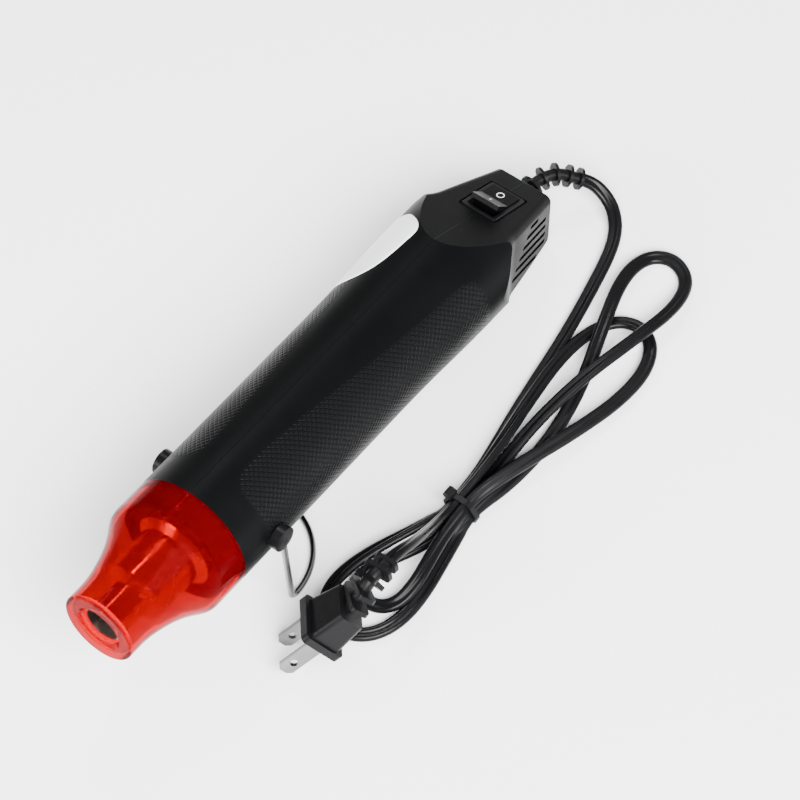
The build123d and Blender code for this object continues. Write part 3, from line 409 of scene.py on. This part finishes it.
@dataclass(frozen=True)
class Finish:
    """A surface finish of moulded, printed or coated material.

    Depths are in millimetres, and the shift is how far patches change the roughness.
    """

    name: str
    colour: Colour
    roughness: float
    second_colour: Colour | None = None
    roughness_shift: float = 0.08
    least_roughness: float = 0.02
    metallic: float = 0.0
    transmission: float = 0.0
    ior: float = 1.5
    specular: float = 0.5
    shine_tint: Colour = (1.0, 1.0, 1.0)
    grain_scale: float = 1500.0
    grain_depth: float = 0.04
    patch_scale: float = 40.0
    follows: Coordinates = Coordinates.MODEL

    def coordinates(self, sheet: Sheet) -> Socket:
        """Object coordinates, turned into the tool's own where the finish follows it.

        Args:
            sheet: The material's node tree.

        Returns:
            The coordinates.
        """
        place = sheet.add("ShaderNodeTexCoord").outputs["Object"]
        if self.follows is Coordinates.MODEL:
            return place
        turned = Matrix.Rotation(-AXES.tilt, 3, "Y") @ (Vector(AXES.origin) * MM)
        mapping = sheet.add("ShaderNodeMapping", {"Location": -turned, "Rotation": (0.0, -AXES.tilt, 0.0)})
        sheet.link(place, mapping.inputs[0])
        return mapping.outputs[0]

    def start(self) -> tuple[bpy.types.Material, Sheet, bpy.types.Node]:
        """A new material with this finish's plain values.

        Returns:
            The material, its sheet and its shader.
        """
        material = bpy.data.materials.new(self.name)
        material.use_nodes = True
        shader = material.node_tree.nodes["Principled BSDF"]
        plain = {
            "Base Color": (*self.colour, 1.0),
            "Roughness": self.roughness,
            "Metallic": self.metallic,
            "Transmission Weight": self.transmission,
            "IOR": self.ior,
            "Specular IOR Level": self.specular,
            "Specular Tint": (*self.shine_tint, 1.0),
        }
        for name, value in plain.items():
            shader.inputs[name].default_value = value
        return material, Sheet(material.node_tree), shader

    def grain(self, sheet: Sheet, place: Socket) -> bpy.types.Node:
        """The moulded grain at this finish's scale."""
        return GRAIN.place(sheet, place, {"Scale": self.grain_scale, "Patch Scale": self.patch_scale})

    def patch(self, sheet: Sheet, share: Socket, shader: bpy.types.Node) -> None:
        """Shows the second colour, where the finish has one.

        Args:
            sheet: The material's node tree.
            share: How much of it shows.
            shader: The material's shader.
        """
        if self.second_colour is not None:
            sheet.link(sheet.blend(share, self.colour, self.second_colour), shader.inputs["Base Color"])

    def wear(self, sheet: Sheet, share: Socket, shader: bpy.types.Node) -> None:
        """Varies the roughness.

        Args:
            sheet: The material's node tree.
            share: Where it is rougher.
            shader: The material's shader.
        """
        low = max(self.roughness - self.roughness_shift, self.least_roughness)
        rough = sheet.step(share, 0.0, 1.0, low, self.roughness + self.roughness_shift)
        sheet.link(rough, shader.inputs["Roughness"])

    def relief(self, sheet: Sheet, height: Socket, depth: float, shader: bpy.types.Node) -> None:
        """Bumps the surface.

        Args:
            sheet: The material's node tree.
            height: The relief's height, from 0 to 1.
            depth: How deep a height of 1 is, in millimetres.
            shader: The material's shader.
        """
        bump = sheet.add("ShaderNodeBump", {"Strength": 1.0, "Distance": depth * MM})
        sheet.link(height, bump.inputs["Height"])
        sheet.link(bump.outputs[0], shader.inputs["Normal"])

    def build(self) -> bpy.types.Material:
        """The finished material, with its grain.

        Returns:
            The material.
        """
        material, sheet, shader = self.start()
        grain = self.grain(sheet, self.coordinates(sheet))
        self.patch(sheet, grain.outputs["Patches"], shader)
        self.wear(sheet, grain.outputs["Patches"], shader)
        self.relief(sheet, grain.outputs["Height"], self.grain_depth, shader)
        return material


@dataclass(frozen=True)
class GripFinish(Finish):
    """Moulded shell with diamonds on its flanks, and painted shade in the grooves between them."""

    follows: Coordinates = Coordinates.TOOL
    diamond_depth: float = 0.22
    diamond_roughness: float = 0.06
    seam_share: float = 0.4

    def build(self) -> bpy.types.Material:
        """The finished material: grain all over, diamonds where the grip is with painted shade in the grooves
        between them, and the seam.

        Returns:
            The material.
        """
        material, sheet, shader = self.start()
        place = self.coordinates(sheet)
        grain = self.grain(sheet, place)
        grip = GRIP.place(sheet, place, {})
        # Painted shade: the base colour is darkest in the grooves between the diamonds and lighter on their
        # tops.
        self.patch(sheet, grip.outputs["Height"], shader)
        low = self.roughness - self.roughness_shift
        rough = sheet.step(grain.outputs["Patches"], 0.0, 1.0, low, self.roughness)
        smoother = sheet.math("MULTIPLY", grip.outputs["Height"], -self.diamond_roughness)
        sheet.link(sheet.math("ADD", rough, smoother), shader.inputs["Roughness"])
        fine = sheet.math("MULTIPLY", grain.outputs["Height"], self.grain_depth / self.diamond_depth)
        seam = sheet.math("MULTIPLY", grip.outputs["Seam"], self.seam_share)
        height = sheet.math("ADD", sheet.math("ADD", grip.outputs["Height"], fine), seam)
        self.relief(sheet, height, self.diamond_depth, shader)
        return material


@dataclass(frozen=True)
class ClearFinish(Finish):
    """See-through tinted plastic with painted shade: a darker red is painted where its faces slant from the
    view, standing in for the deeper look of a thick wall.
    """

    # Painted shade: the darker red that slanting faces get.
    slant_shade_colour: Colour = (0.1, 0.0, 0.001)
    slant_start: float = 0.45
    slant_end: float = 0.95
    facing_blend: float = 0.5

    def build(self) -> bpy.types.Material:
        """The finished material, with a darker red painted as shade on slanting faces.

        Returns:
            The material.
        """
        material, sheet, shader = self.start()
        grain = self.grain(sheet, self.coordinates(sheet))
        facing = sheet.add("ShaderNodeLayerWeight", {"Blend": self.facing_blend}).outputs["Facing"]
        slant = sheet.step(facing, self.slant_start, self.slant_end)
        # Painted shade: the base colour darkens towards faces that slant from the view.
        sheet.link(sheet.blend(slant, self.colour, self.slant_shade_colour), shader.inputs["Base Color"])
        self.wear(sheet, grain.outputs["Patches"], shader)
        self.relief(sheet, grain.outputs["Height"], self.grain_depth, shader)
        return material


@dataclass(frozen=True)
class MetalFinish(Finish):
    """Drawn or plated metal."""

    metallic: float = 1.0
    grain_depth: float = 0.02
    follows: Coordinates = Coordinates.TOOL

    def build(self) -> bpy.types.Material:
        """The finished material, with fine lines and a stain in the second colour.

        Returns:
            The material.
        """
        material, sheet, shader = self.start()
        lines = LINES.place(sheet, self.coordinates(sheet), {"Scale": self.grain_scale})
        self.patch(sheet, lines.outputs["Stain"], shader)
        self.wear(sheet, lines.outputs["Stain"], shader)
        self.relief(sheet, lines.outputs["Height"], self.grain_depth, shader)
        return material


SHELL_BLACK = GripFinish(
    "shell_black",
    colour=(0.0016, 0.0017, 0.0019),
    roughness=0.45,
    # Painted shade: the lighter second colour goes on the grip's diamond tops, which leaves the grooves darker.
    second_colour=(0.0032, 0.0034, 0.0037),
    specular=0.04,
    grain_scale=2600.0,
    grain_depth=0.03,
)
RED_GUARD = ClearFinish(
    "red_guard",
    colour=(0.46, 0.0, 0.005),
    roughness=0.08,
    roughness_shift=0.03,
    transmission=0.92,
    ior=1.08,
    shine_tint=(1.0, 0.12, 0.15),
    grain_scale=120.0,
    grain_depth=0.08,
)
NOZZLE_STEEL = MetalFinish(
    "nozzle_steel",
    colour=(0.7, 0.67, 0.64),
    roughness=0.2,
    second_colour=(0.5, 0.42, 0.34),
)
BRIGHT_WIRE = MetalFinish(
    "bright_wire",
    colour=(0.27, 0.27, 0.28),
    roughness=0.2,
    second_colour=(0.2, 0.2, 0.21),
    roughness_shift=0.04,
    grain_depth=0.01,
)
BLADE_PLATE = MetalFinish(
    "blade_plate",
    colour=(0.2, 0.2, 0.205),
    roughness=0.28,
    second_colour=(0.15, 0.15, 0.155),
    roughness_shift=0.06,
)
PLATED = MetalFinish("plated_metal", colour=(0.6, 0.6, 0.61), roughness=0.3)
BRASS = MetalFinish("terminal_brass", colour=(0.75, 0.56, 0.25), roughness=0.28)
HEATER_WIRE = MetalFinish(
    "heater_wire",
    colour=(0.35, 0.32, 0.3),
    roughness=0.4,
    second_colour=(0.2, 0.16, 0.14),
)
DARK_METAL = MetalFinish("dark_metal", colour=(0.12, 0.12, 0.12), roughness=0.45, grain_depth=0.03)
SWITCH_GLOSS = Finish(
    "switch_gloss",
    colour=(0.002, 0.002, 0.0023),
    roughness=0.3,
    roughness_shift=0.05,
    specular=0.035,
    grain_scale=900.0,
    grain_depth=0.01,
)
SWITCH_FRAME = Finish(
    "switch_frame",
    colour=(0.003, 0.003, 0.0034),
    roughness=0.32,
    specular=0.08,
    grain_scale=1800.0,
    grain_depth=0.02,
)
CAP_BLACK = Finish(
    "cap_black",
    colour=(0.004, 0.004, 0.0045),
    roughness=0.36,
    specular=0.08,
    grain_scale=1400.0,
    grain_depth=0.03,
)
CORD_VINYL = Finish(
    "cord_vinyl",
    colour=(0.003, 0.003, 0.0034),
    roughness=0.33,
    roughness_shift=0.1,
    specular=0.1,
    grain_scale=700.0,
)
PLUG_VINYL = Finish(
    "plug_vinyl",
    colour=(0.0034, 0.0034, 0.0038),
    roughness=0.38,
    roughness_shift=0.06,
    specular=0.1,
    grain_scale=900.0,
    grain_depth=0.05,
)
STICKER = Finish(
    "sticker_white",
    colour=(0.8, 0.81, 0.82),
    roughness=0.38,
    second_colour=(0.74, 0.75, 0.77),
    grain_scale=700.0,
    grain_depth=0.01,
)
MARK_WHITE = Finish(
    "mark_white",
    colour=(0.72, 0.72, 0.72),
    roughness=0.5,
    grain_scale=3000.0,
    grain_depth=0.01,
)
CERAMIC = Finish(
    "ring_black",
    colour=(0.015, 0.014, 0.014),
    roughness=0.6,
    second_colour=(0.03, 0.027, 0.025),
    grain_depth=0.06,
)
MICA = Finish(
    "mica_board",
    colour=(0.5, 0.43, 0.3),
    roughness=0.5,
    second_colour=(0.36, 0.3, 0.2),
    patch_scale=200.0,
    grain_depth=0.06,
)
NYLON = Finish(
    "natural_nylon",
    colour=(0.68, 0.66, 0.6),
    roughness=0.45,
    second_colour=(0.6, 0.58, 0.52),
)
BOARD = Finish(
    "board_brown",
    colour=(0.3, 0.17, 0.06),
    roughness=0.5,
    second_colour=(0.24, 0.13, 0.05),
    patch_scale=300.0,
)
FLOOR_PALE = Finish(
    "floor_pale",
    colour=(0.96, 0.96, 0.96),
    roughness=0.75,
    roughness_shift=0.02,
    grain_scale=200.0,
    grain_depth=0.01,
)


class Wardrobe:
    """Makes each finish once and dresses pieces in it."""

    def __init__(self) -> None:
        """Starts empty."""
        self.made: dict[str, bpy.types.Material] = {}

    def dress(self, piece: bpy.types.Object, finish: Finish) -> None:
        """Gives a piece its only material.

        Args:
            piece: The object.
            finish: What it wears.
        """
        if finish.name not in self.made:
            self.made[finish.name] = finish.build()
        piece.data.materials.clear()
        piece.data.materials.append(self.made[finish.name])


def link_object(name: str, data: bpy.types.ID) -> bpy.types.Object:
    """Makes an object of some data and puts it in the scene.

    Args:
        name: The object's name.
        data: Its mesh, curve, light or camera.

    Returns:
        The object.
    """
    thing = bpy.data.objects.new(name, data)
    bpy.context.scene.collection.objects.link(thing)
    return thing


def keep_mesh(name: str, shape: bmesh.types.BMesh, smooth: bool = True) -> bpy.types.Object:
    """Makes an object of a finished bmesh.

    Args:
        name: The piece's name.
        shape: The bmesh, which is freed.
        smooth: Whether its faces are shaded smooth.

    Returns:
        The object.
    """
    mesh = bpy.data.meshes.new(name)
    shape.to_mesh(mesh)
    shape.free()
    for face in mesh.polygons:
        face.use_smooth = smooth
    return link_object(name, mesh)


@dataclass
class SubAssembly:
    """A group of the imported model's nodes and their finishes, with the pieces that the scene adds to them."""

    finishes: ClassVar[dict[str, Finish]] = {}

    wardrobe: Wardrobe

    def dress_nodes(self) -> None:
        """Gives each node its finish."""
        for name, finish in self.finishes.items():
            self.wardrobe.dress(frame["nodes"][name], finish)
        LOG.info("%s dressed, %d nodes", type(self).__name__, len(self.finishes))

    def build(self) -> None:
        """Dresses the nodes, all that a sub-assembly without pieces of its own needs."""
        self.dress_nodes()


@dataclass
class Housing(SubAssembly):
    """Both shells, the screws that close them and the blank label."""

    finishes: ClassVar[dict[str, Finish]] = {
        "left_shell": SHELL_BLACK,
        "right_shell": SHELL_BLACK,
        "housing_screws": PLATED,
        "side_label": STICKER,
    }


@dataclass
class HotAirPath(SubAssembly):
    """The red guard, the steel nozzle, its rings and the heater."""

    finishes: ClassVar[dict[str, Finish]] = {
        "nozzle_guard": RED_GUARD,
        "steel_nozzle": NOZZLE_STEEL,
        "front_ring": CERAMIC,
        "rear_ring": CERAMIC,
        "mica_sleeve": MICA,
        "heater_former": MICA,
        "heating_coil": HEATER_WIRE,
        "thermal_cutout": PLATED,
    }


@dataclass
class Blower(SubAssembly):
    """The fan and its motor."""

    finishes: ClassVar[dict[str, Finish]] = {
        "fan_shroud": NYLON,
        "fan_impeller": NYLON,
        "motor_shaft": PLATED,
        "motor_can": PLATED,
        "motor_magnets": DARK_METAL,
        "motor_armature": DARK_METAL,
        "motor_end_cap": NYLON,
        "motor_cradle": NYLON,
    }


@dataclass
class Supply(SubAssembly):
    """The motor's rectifier, the inner wires and the cord's anchorage."""

    finishes: ClassVar[dict[str, Finish]] = {
        "rectifier_board": BOARD,
        "rectifier_diodes": CAP_BLACK,
        "smoothing_capacitor": CAP_BLACK,
        "heater_wires": CORD_VINYL,
        "inner_cord": CORD_VINYL,
        "cord_clamp": CAP_BLACK,
        "clamp_screws": PLATED,
    }


@dataclass
class Bail(SubAssembly):
    """The wire stand and the two caps that carry it."""

    finishes: ClassVar[dict[str, Finish]] = {
        "bail_stand": BRIGHT_WIRE,
        "left_pivot_cap": CAP_BLACK,
        "right_pivot_cap": CAP_BLACK,
    }


@dataclass
class Switch(SubAssembly):
    """The rocker switch and its two plain marks: a ring on the rear half and a short bar on the front half.

    Sizes are in millimetres. Places are on the rocker's faces, measured from its pivot along the sloping top.
    """

    finishes: ClassVar[dict[str, Finish]] = {
        "switch_body": SWITCH_FRAME,
        "switch_rocker": SWITCH_GLOSS,
        "switch_terminals": BRASS,
    }

    joint: str = "rocker_tilt"
    slope: float = 0.38
    mark_place: float = 4.6
    ring_radius: float = 1.6
    ring_squash: float = 0.8
    ring_steps: int = 48
    line_width: float = 0.4
    bar_length: float = 2.0
    top: float = 4.1
    proud: float = 0.04

    def directions(self) -> tuple[Vector, Vector]:
        """Directions towards the tail along the sloping top, and out of it.

        Returns:
            Both unit vectors.
        """
        size = math.hypot(1.0, self.slope)
        towards = (AXES.along - AXES.rise * self.slope) / size
        outward = (AXES.rise + AXES.along * self.slope) / size
        return towards, outward

    def place(self, shape: bmesh.types.BMesh, station: float, turn: float) -> None:
        """Moves a mark drawn flat at the origin onto a face of the rocker.

        Args:
            shape: The mark.
            station: Its place along the flush face, from the pivot line.
            turn: How far that face is turned up about the pivot line.
        """
        towards, outward = self.directions()
        side = Vector((0.0, 1.0, 0.0))
        spot = towards * station + outward * (self.top + self.proud / 2)
        flat = Matrix((towards, side, outward)).transposed()
        tip = Matrix.Rotation(turn, 3, "Y")
        pivot = Vector(find_joint(self.joint)["pos_m"])
        whole = Matrix.Translation(pivot + (tip @ spot) * MM) @ (tip @ flat).to_4x4()
        bmesh.ops.transform(shape, matrix=whole, verts=shape.verts)
        bmesh.ops.recalc_face_normals(shape, faces=shape.faces)

    def ring(self) -> bmesh.types.BMesh:
        """A flat ring, spun from its cross-section.

        Returns:
            The ring, flat at the origin.
        """
        shape = bmesh.new()
        inner = self.ring_radius - self.line_width / 2
        outer = self.ring_radius + self.line_width / 2
        corners = [(inner, -1), (outer, -1), (outer, 1), (inner, 1)]
        verts = [shape.verts.new(point(x, 0.0, z * self.proud / 2)) for x, z in corners]
        edges = [shape.edges.new((first, second)) for first, second in zip(verts, verts[1:] + verts[:1])]
        bmesh.ops.spin(
            shape,
            geom=[*verts, *edges],
            cent=(0.0, 0.0, 0.0),
            axis=(0.0, 0.0, 1.0),
            angle=2 * math.pi,
            steps=self.ring_steps,
            use_merge=True,
        )
        bmesh.ops.scale(shape, vec=(1.0, self.ring_squash, 1.0), verts=shape.verts)
        return shape

    def bar(self) -> bmesh.types.BMesh:
        """A short flat bar.

        Returns:
            The bar, flat at the origin.
        """
        shape = bmesh.new()
        bmesh.ops.create_cube(shape, size=1.0)
        bmesh.ops.scale(shape, vec=point(self.bar_length, self.line_width, self.proud), verts=shape.verts)
        return shape

    def mark(self, name: str, shape: bmesh.types.BMesh, station: float, turn: float) -> None:
        """Sets one mark on the rocker and lets it ride there.

        Args:
            name: The mark's name.
            shape: The mark, flat at the origin.
            station: Its place along the flush face, from the pivot line.
            turn: How far that face is turned up about the pivot line.
        """
        self.place(shape, station, turn)
        mark = keep_mesh(name, shape, smooth=False)
        self.wardrobe.dress(mark, MARK_WHITE)
        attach(mark, "rocker")

    def build(self) -> None:
        """Dresses the switch and marks its rocker, whose front half is raised by the whole swing at rest."""
        self.dress_nodes()
        swing = math.radians(find_joint(self.joint)["range_deg"][1])
        self.mark("rocker_off_mark", self.ring(), self.mark_place, 0.0)
        self.mark("rocker_on_mark", self.bar(), -self.mark_place, swing)
        LOG.info("rocker marked")


class Layer(Enum):
    """Height of a strand inside the tie, in millimetres."""

    LOW = 3.5
    HIGH = 7.1


@dataclass(frozen=True)
class Loop:
    """One loop of the cord, out from the tie and back.

    Lengths are in millimetres and the heading in degrees. Drift moves the loop's belly to one side,
    crossing narrows it near the tie, and heights are those of its points in turn.
    """

    reach: float
    heading: float
    spread: float
    crossing: float
    drift: float
    heights: tuple[float, ...]


@dataclass
class MainsCord(SubAssembly):
    """The flat two-core cord, its sleeve, tie and plug: lead, four loops gathered by the tie, and the tail.

    Lengths are in millimetres, and the real length in metres.
    """

    finishes: ClassVar[dict[str, Finish]] = {
        "strain_relief": PLUG_VINYL,
        "cord_tie": CORD_VINYL,
        "plug_body": PLUG_VINYL,
        "plug_blades": BLADE_PLATE,
    }

    thickness: float = 2.9
    width: float = 5.3
    real_length: float = 0.945
    tie_place: tuple[float, float] = (8.0, -54.0)
    lane_pitch: float = 4.1
    lane_straight: float = 4.6
    loop_steps: int = 16
    loop_first_step: int = 2
    lobe_steps: int = 9
    roll_far: float = math.radians(12.0)
    roll_near: float = math.radians(58.0)
    roll_reach: float = 30.0
    floor_room: float = 0.12
    path_steps: int = 8
    spline_order: int = 3
    merge_reach: float = 0.001
    lead: tuple[Place, ...] = (
        (140.8, -10.6, 13.6),
        (143.387, -13.986, 11.39),
        (143.5, -19.9, 7.7),
        (141.0, -25.5, 4.8),
        (135.2, -30.4, 2.7),
        (126.2, -33.8, 1.9),
        (113.0, -36.6, 1.8),
        (97.6, -39.6, 1.8),
        (81.4, -42.0, 1.8),
        (65.2, -43.9, 1.8),
        (50.4, -45.8, 1.9),
        (36.4, -48.0, 2.3),
        (24.0, -49.6, 3.0),
        (12.6, -49.9, 3.5),
    )
    tail: tuple[Place, ...] = (
        (3.6, -51.95, 7.1),
        (-2.4, -52.3, 9.2),
        (-9.2, -53.6, 14.2),
        (-16.2, -55.4, 20.8),
        (-23.6, -56.9, 27.4),
        (-31.258, -57.013, 32.254),
        (-36.0, -56.8, 33.0),
    )
    loops: tuple[Loop, ...] = (
        Loop(
            reach=63.1,
            heading=172.0,
            spread=-20.7,
            crossing=0.6,
            drift=1.1,
            heights=(3.6, 3.3, 3.1, 2.3, 1.8, 1.8, 1.8, 1.8, 1.9, 1.8, 1.8, 1.8, 1.8),
        ),
        Loop(
            reach=130.1,
            heading=-0.1,
            spread=27.5,
            crossing=13.5,
            drift=-4.3,
            heights=(1.8, 1.8, 3.1, 6.9, 4.8, 1.8, 1.8, 1.8, 5.3, 8.2, 8.2, 5.4, 1.8),
        ),
        Loop(
            reach=48.8,
            heading=171.8,
            spread=-17.3,
            crossing=-3.8,
            drift=2.8,
            heights=(2.7, 1.8, 1.8, 1.8, 1.8, 1.8, 1.8, 1.8, 3.6, 6.0, 7.6, 8.2, 5.7),
        ),
        Loop(
            reach=99.5,
            heading=-4.0,
            spread=-23.2,
            crossing=-1.6,
            drift=-0.9,
            heights=(8.2, 6.6, 4.8, 3.2, 2.1, 1.8, 1.8, 1.8, 1.9, 3.8, 5.6, 7.3, 8.2),
        ),
    )
    lanes: tuple[tuple[float, Layer], ...] = (
        (1.0, Layer.LOW),
        (-1.0, Layer.LOW),
        (0.0, Layer.LOW),
        (-0.5, Layer.HIGH),
        (0.5, Layer.HIGH),
    )

    def loop_points(self, number: int) -> list[Place]:
        """Route of one loop between its two lanes.

        Args:
            number: Which loop.

        Returns:
            Its points, without those inside the tie.
        """
        loop = self.loops[number]
        turned = math.radians(loop.heading)
        found = []
        for index, height in enumerate(loop.heights):
            turn = 2 * math.pi * (self.loop_first_step + index) / self.loop_steps
            out = math.sin(turn / 2) ** 2
            if loop.reach * out < 2 * self.lane_straight:
                continue
            belly = 4 * out * (1 - out)
            swing = math.sin(turn) * (loop.spread * out - loop.crossing * belly) + loop.drift * belly
            lane = self.lanes[number if turn <= math.pi else number + 1][0] * self.lane_pitch
            x = self.tie_place[0] + math.cos(turned) * loop.reach * out - math.sin(turned) * swing
            y = self.tie_place[1] + math.sin(turned) * loop.reach * out + math.cos(turned) * swing
            found.append((x, y + lane * (1 - out) ** 2, height))
        return found

    def lane_ends(self, number: int, direction: int) -> list[Place]:
        """Two points that lead a strand through the tie.

        Args:
            number: Which strand.
            direction: 1 towards +X, and -1 towards -X.

        Returns:
            The place where it enters and the place where it leaves.
        """
        share, layer = self.lanes[number]
        y = self.tie_place[1] + share * self.lane_pitch
        return [
            (self.tie_place[0] - direction * self.lane_straight, y, layer.value),
            (self.tie_place[0] + direction * self.lane_straight, y, layer.value),
        ]

    def route(self) -> list[Place]:
        """The whole route from the strain relief to the plug.

        Returns:
            Its points.
        """
        found = [*self.lead, self.lane_ends(0, -1)[1]]
        for number in range(len(self.loops)):
            direction = 1 if number % 2 == 0 else -1
            found += self.loop_points(number)
            found += self.lane_ends(number + 1, direction)
        return [*found[:-1], *self.tail]

    def roll(self, place: Place) -> float:
        """How far the flat section is turned about the route, up on edge near the tie and clear of the floor.

        Args:
            place: A point of the route.

        Returns:
            The turn in radians.
        """
        near = math.exp(-(((place[0] - self.tie_place[0]) / self.roll_reach) ** 2))
        wanted = self.roll_far + (self.roll_near - self.roll_far) * near
        room = (place[2] - self.thickness / 2 - self.floor_room) / ((self.width - self.thickness) / 2)
        return min(wanted, math.asin(max(0.0, min(1.0, room))))

    def spline(self) -> bpy.types.Object:
        """The route as one smooth open curve.

        Returns:
            The curve's object.
        """
        curve = bpy.data.curves.new("cord_route", "CURVE")
        curve.dimensions = "3D"
        curve.twist_mode = "Z_UP"
        curve.resolution_u = self.path_steps
        line = curve.splines.new("NURBS")
        places = self.route()
        line.points.add(len(places) - 1)
        for control, place in zip(line.points, places):
            control.co = (*point(*place), 1.0)
            control.tilt = self.roll(place)
        line.order_u = self.spline_order
        line.use_endpoint_u = True
        return link_object("cord_route", curve)

    def profile(self) -> bpy.types.Object:
        """Outline of the section: two lobes with a groove between them.

        Returns:
            The outline's object.
        """
        radius = self.thickness / 2
        middle = (self.width - self.thickness) / 2
        open_angle = math.acos(-middle / radius)
        outline = []
        for side in (1, -1):
            for step in range(self.lobe_steps + 1):
                angle = open_angle * (2 * step / self.lobe_steps - 1)
                outline.append((side * (middle + radius * math.cos(angle)), side * radius * math.sin(angle)))
        curve = bpy.data.curves.new("cord_section", "CURVE")
        curve.dimensions = "2D"
        line = curve.splines.new("POLY")
        line.points.add(len(outline) - 1)
        for control, (x, y) in zip(line.points, outline):
            control.co = (x * MM, y * MM, 0.0, 1.0)
        line.use_cyclic_u = True
        return link_object("cord_section", curve)

    def sweep(self, carrier: bpy.types.Object) -> bpy.types.Object:
        """The section swept along the route, as a closed mesh.

        Args:
            carrier: The route's object, which is removed.

        Returns:
            The cord's object.
        """
        section = self.profile()
        carrier.data.bevel_mode = "OBJECT"
        carrier.data.bevel_object = section
        carrier.data.use_fill_caps = True
        bpy.context.view_layer.update()
        depsgraph = bpy.context.evaluated_depsgraph_get()
        swept = bpy.data.meshes.new_from_object(carrier.evaluated_get(depsgraph))
        for thing in (carrier, section):
            bpy.data.objects.remove(thing)
        shape = bmesh.new()
        shape.from_mesh(swept)
        bpy.data.meshes.remove(swept)
        bmesh.ops.remove_doubles(shape, verts=shape.verts, dist=self.merge_reach * MM)
        bmesh.ops.recalc_face_normals(shape, faces=shape.faces)
        return keep_mesh("flat_cord", shape)

    def declare(self, cord: bpy.types.Object, path: list[Place]) -> None:
        """Says what the cord rides on and replaces.

        Args:
            cord: The cord's object.
            path: Its route, in metres. Not used.
        """
        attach(cord, "housing")
        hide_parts("cord_lead", "cord_hank", "cord_tail")

    def build(self) -> None:
        """Makes the cord along its route, and dresses it with its sleeve, tie and plug."""
        carrier = self.spline()
        bare = bpy.data.meshes.new_from_object(carrier)
        path = [tuple(vertex.co) for vertex in bare.vertices]
        bpy.data.meshes.remove(bare)
        cord = self.sweep(carrier)
        self.wardrobe.dress(cord, CORD_VINYL)
        self.declare(cord, path)
        length = sum((Vector(second) - Vector(first)).length for first, second in zip(path, path[1:]))
        LOG.info("cord made, %.3f m on %d points", length, len(path))
        self.dress_nodes()


@dataclass
class Viewpoint:
    """The camera, at the photograph's angle. Its place is in metres, its lens and sensor in millimetres."""

    place: Place = (-0.50105, -0.48697, 1.15921)
    right: Place = (0.59994, -0.79825, -0.05354)
    up: Place = (0.69758, 0.48917, 0.52355)
    forward: Place = (0.39173, 0.35145, -0.85031)
    lens: float = 171.0
    sensor: float = 36.0
    nearest: float = 0.05
    farthest: float = 20.0

    def build(self) -> None:
        """Makes the camera the scene's own."""
        data = bpy.data.cameras.new("camera")
        data.lens = self.lens
        data.sensor_width = self.sensor
        data.sensor_fit = "HORIZONTAL"
        data.clip_start = self.nearest
        data.clip_end = self.farthest
        camera = link_object("camera", data)
        columns = Matrix((self.right, self.up, [-value for value in self.forward])).transposed()
        camera.matrix_world = Matrix.Translation(self.place) @ columns.to_4x4()
        bpy.context.scene.camera = camera
        LOG.info("camera placed")


@dataclass(frozen=True)
class PanelLight:
    """One soft panel light, with its place, aim and size in metres and its power in watts."""

    name: str
    place: Place
    aim: Place
    width: float
    height: float
    power: float

    def build(self) -> None:
        """Hangs the light in the scene."""
        data = bpy.data.lights.new(self.name, "AREA")
        data.shape = "RECTANGLE"
        data.size = self.width
        data.size_y = self.height
        data.energy = self.power
        lamp = link_object(self.name, data)
        lamp.location = self.place
        lamp.rotation_euler = (Vector(self.aim) - Vector(self.place)).to_track_quat("-Z", "Y").to_euler()


@dataclass
class Studio:
    """Pale floor and soft light. Lengths are in metres."""

    wardrobe: Wardrobe
    floor_reach: float = 3.0
    floor_squares: int = 4
    world_colour: tuple[float, float, float, float] = (1.0, 1.0, 1.0, 1.0)
    world_strength: float = 0.7
    panels: tuple[PanelLight, ...] = (
        PanelLight("key", (-0.75, -1.3, 1.5), (0.05, -0.02, 0.0), 1.8, 1.2, 250.0),
        PanelLight("fill", (0.55, 0.5, 1.25), (0.02, 0.0, 0.03), 0.25, 0.25, 9.0),
        PanelLight("front", (-1.6, 0.9, 0.9), (-0.05, 0.0, 0.04), 1.0, 0.7, 55.0),
    )

    def lay_floor(self) -> None:
        """Makes the floor, which is stage and not part of the object."""
        shape = bmesh.new()
        squares = self.floor_squares
        bmesh.ops.create_grid(shape, x_segments=squares, y_segments=squares, size=self.floor_reach)
        floor = keep_mesh("floor", shape)
        self.wardrobe.dress(floor, FLOOR_PALE)

    def light_world(self) -> None:
        """Surrounds the scene with even white light."""
        world = bpy.data.worlds.new("studio")
        world.use_nodes = True
        background = world.node_tree.nodes["Background"]
        background.inputs["Color"].default_value = self.world_colour
        background.inputs["Strength"].default_value = self.world_strength
        bpy.context.scene.world = world

    def build(self) -> None:
        """Makes the floor, the world's light and the panel lights."""
        self.lay_floor()
        self.light_world()
        for panel in self.panels:
            panel.build()
        LOG.info("studio lit")


def main() -> None:
    """Builds each part of the scene in order."""
    logging.basicConfig(level=logging.INFO)
    wardrobe = Wardrobe()
    Viewpoint().build()
    for kind in (MainsCord, Housing, HotAirPath, Blower, Supply, Bail, Switch):
        kind(wardrobe).build()
    Studio(wardrobe).build()


if __name__ == "__main__":
    main()
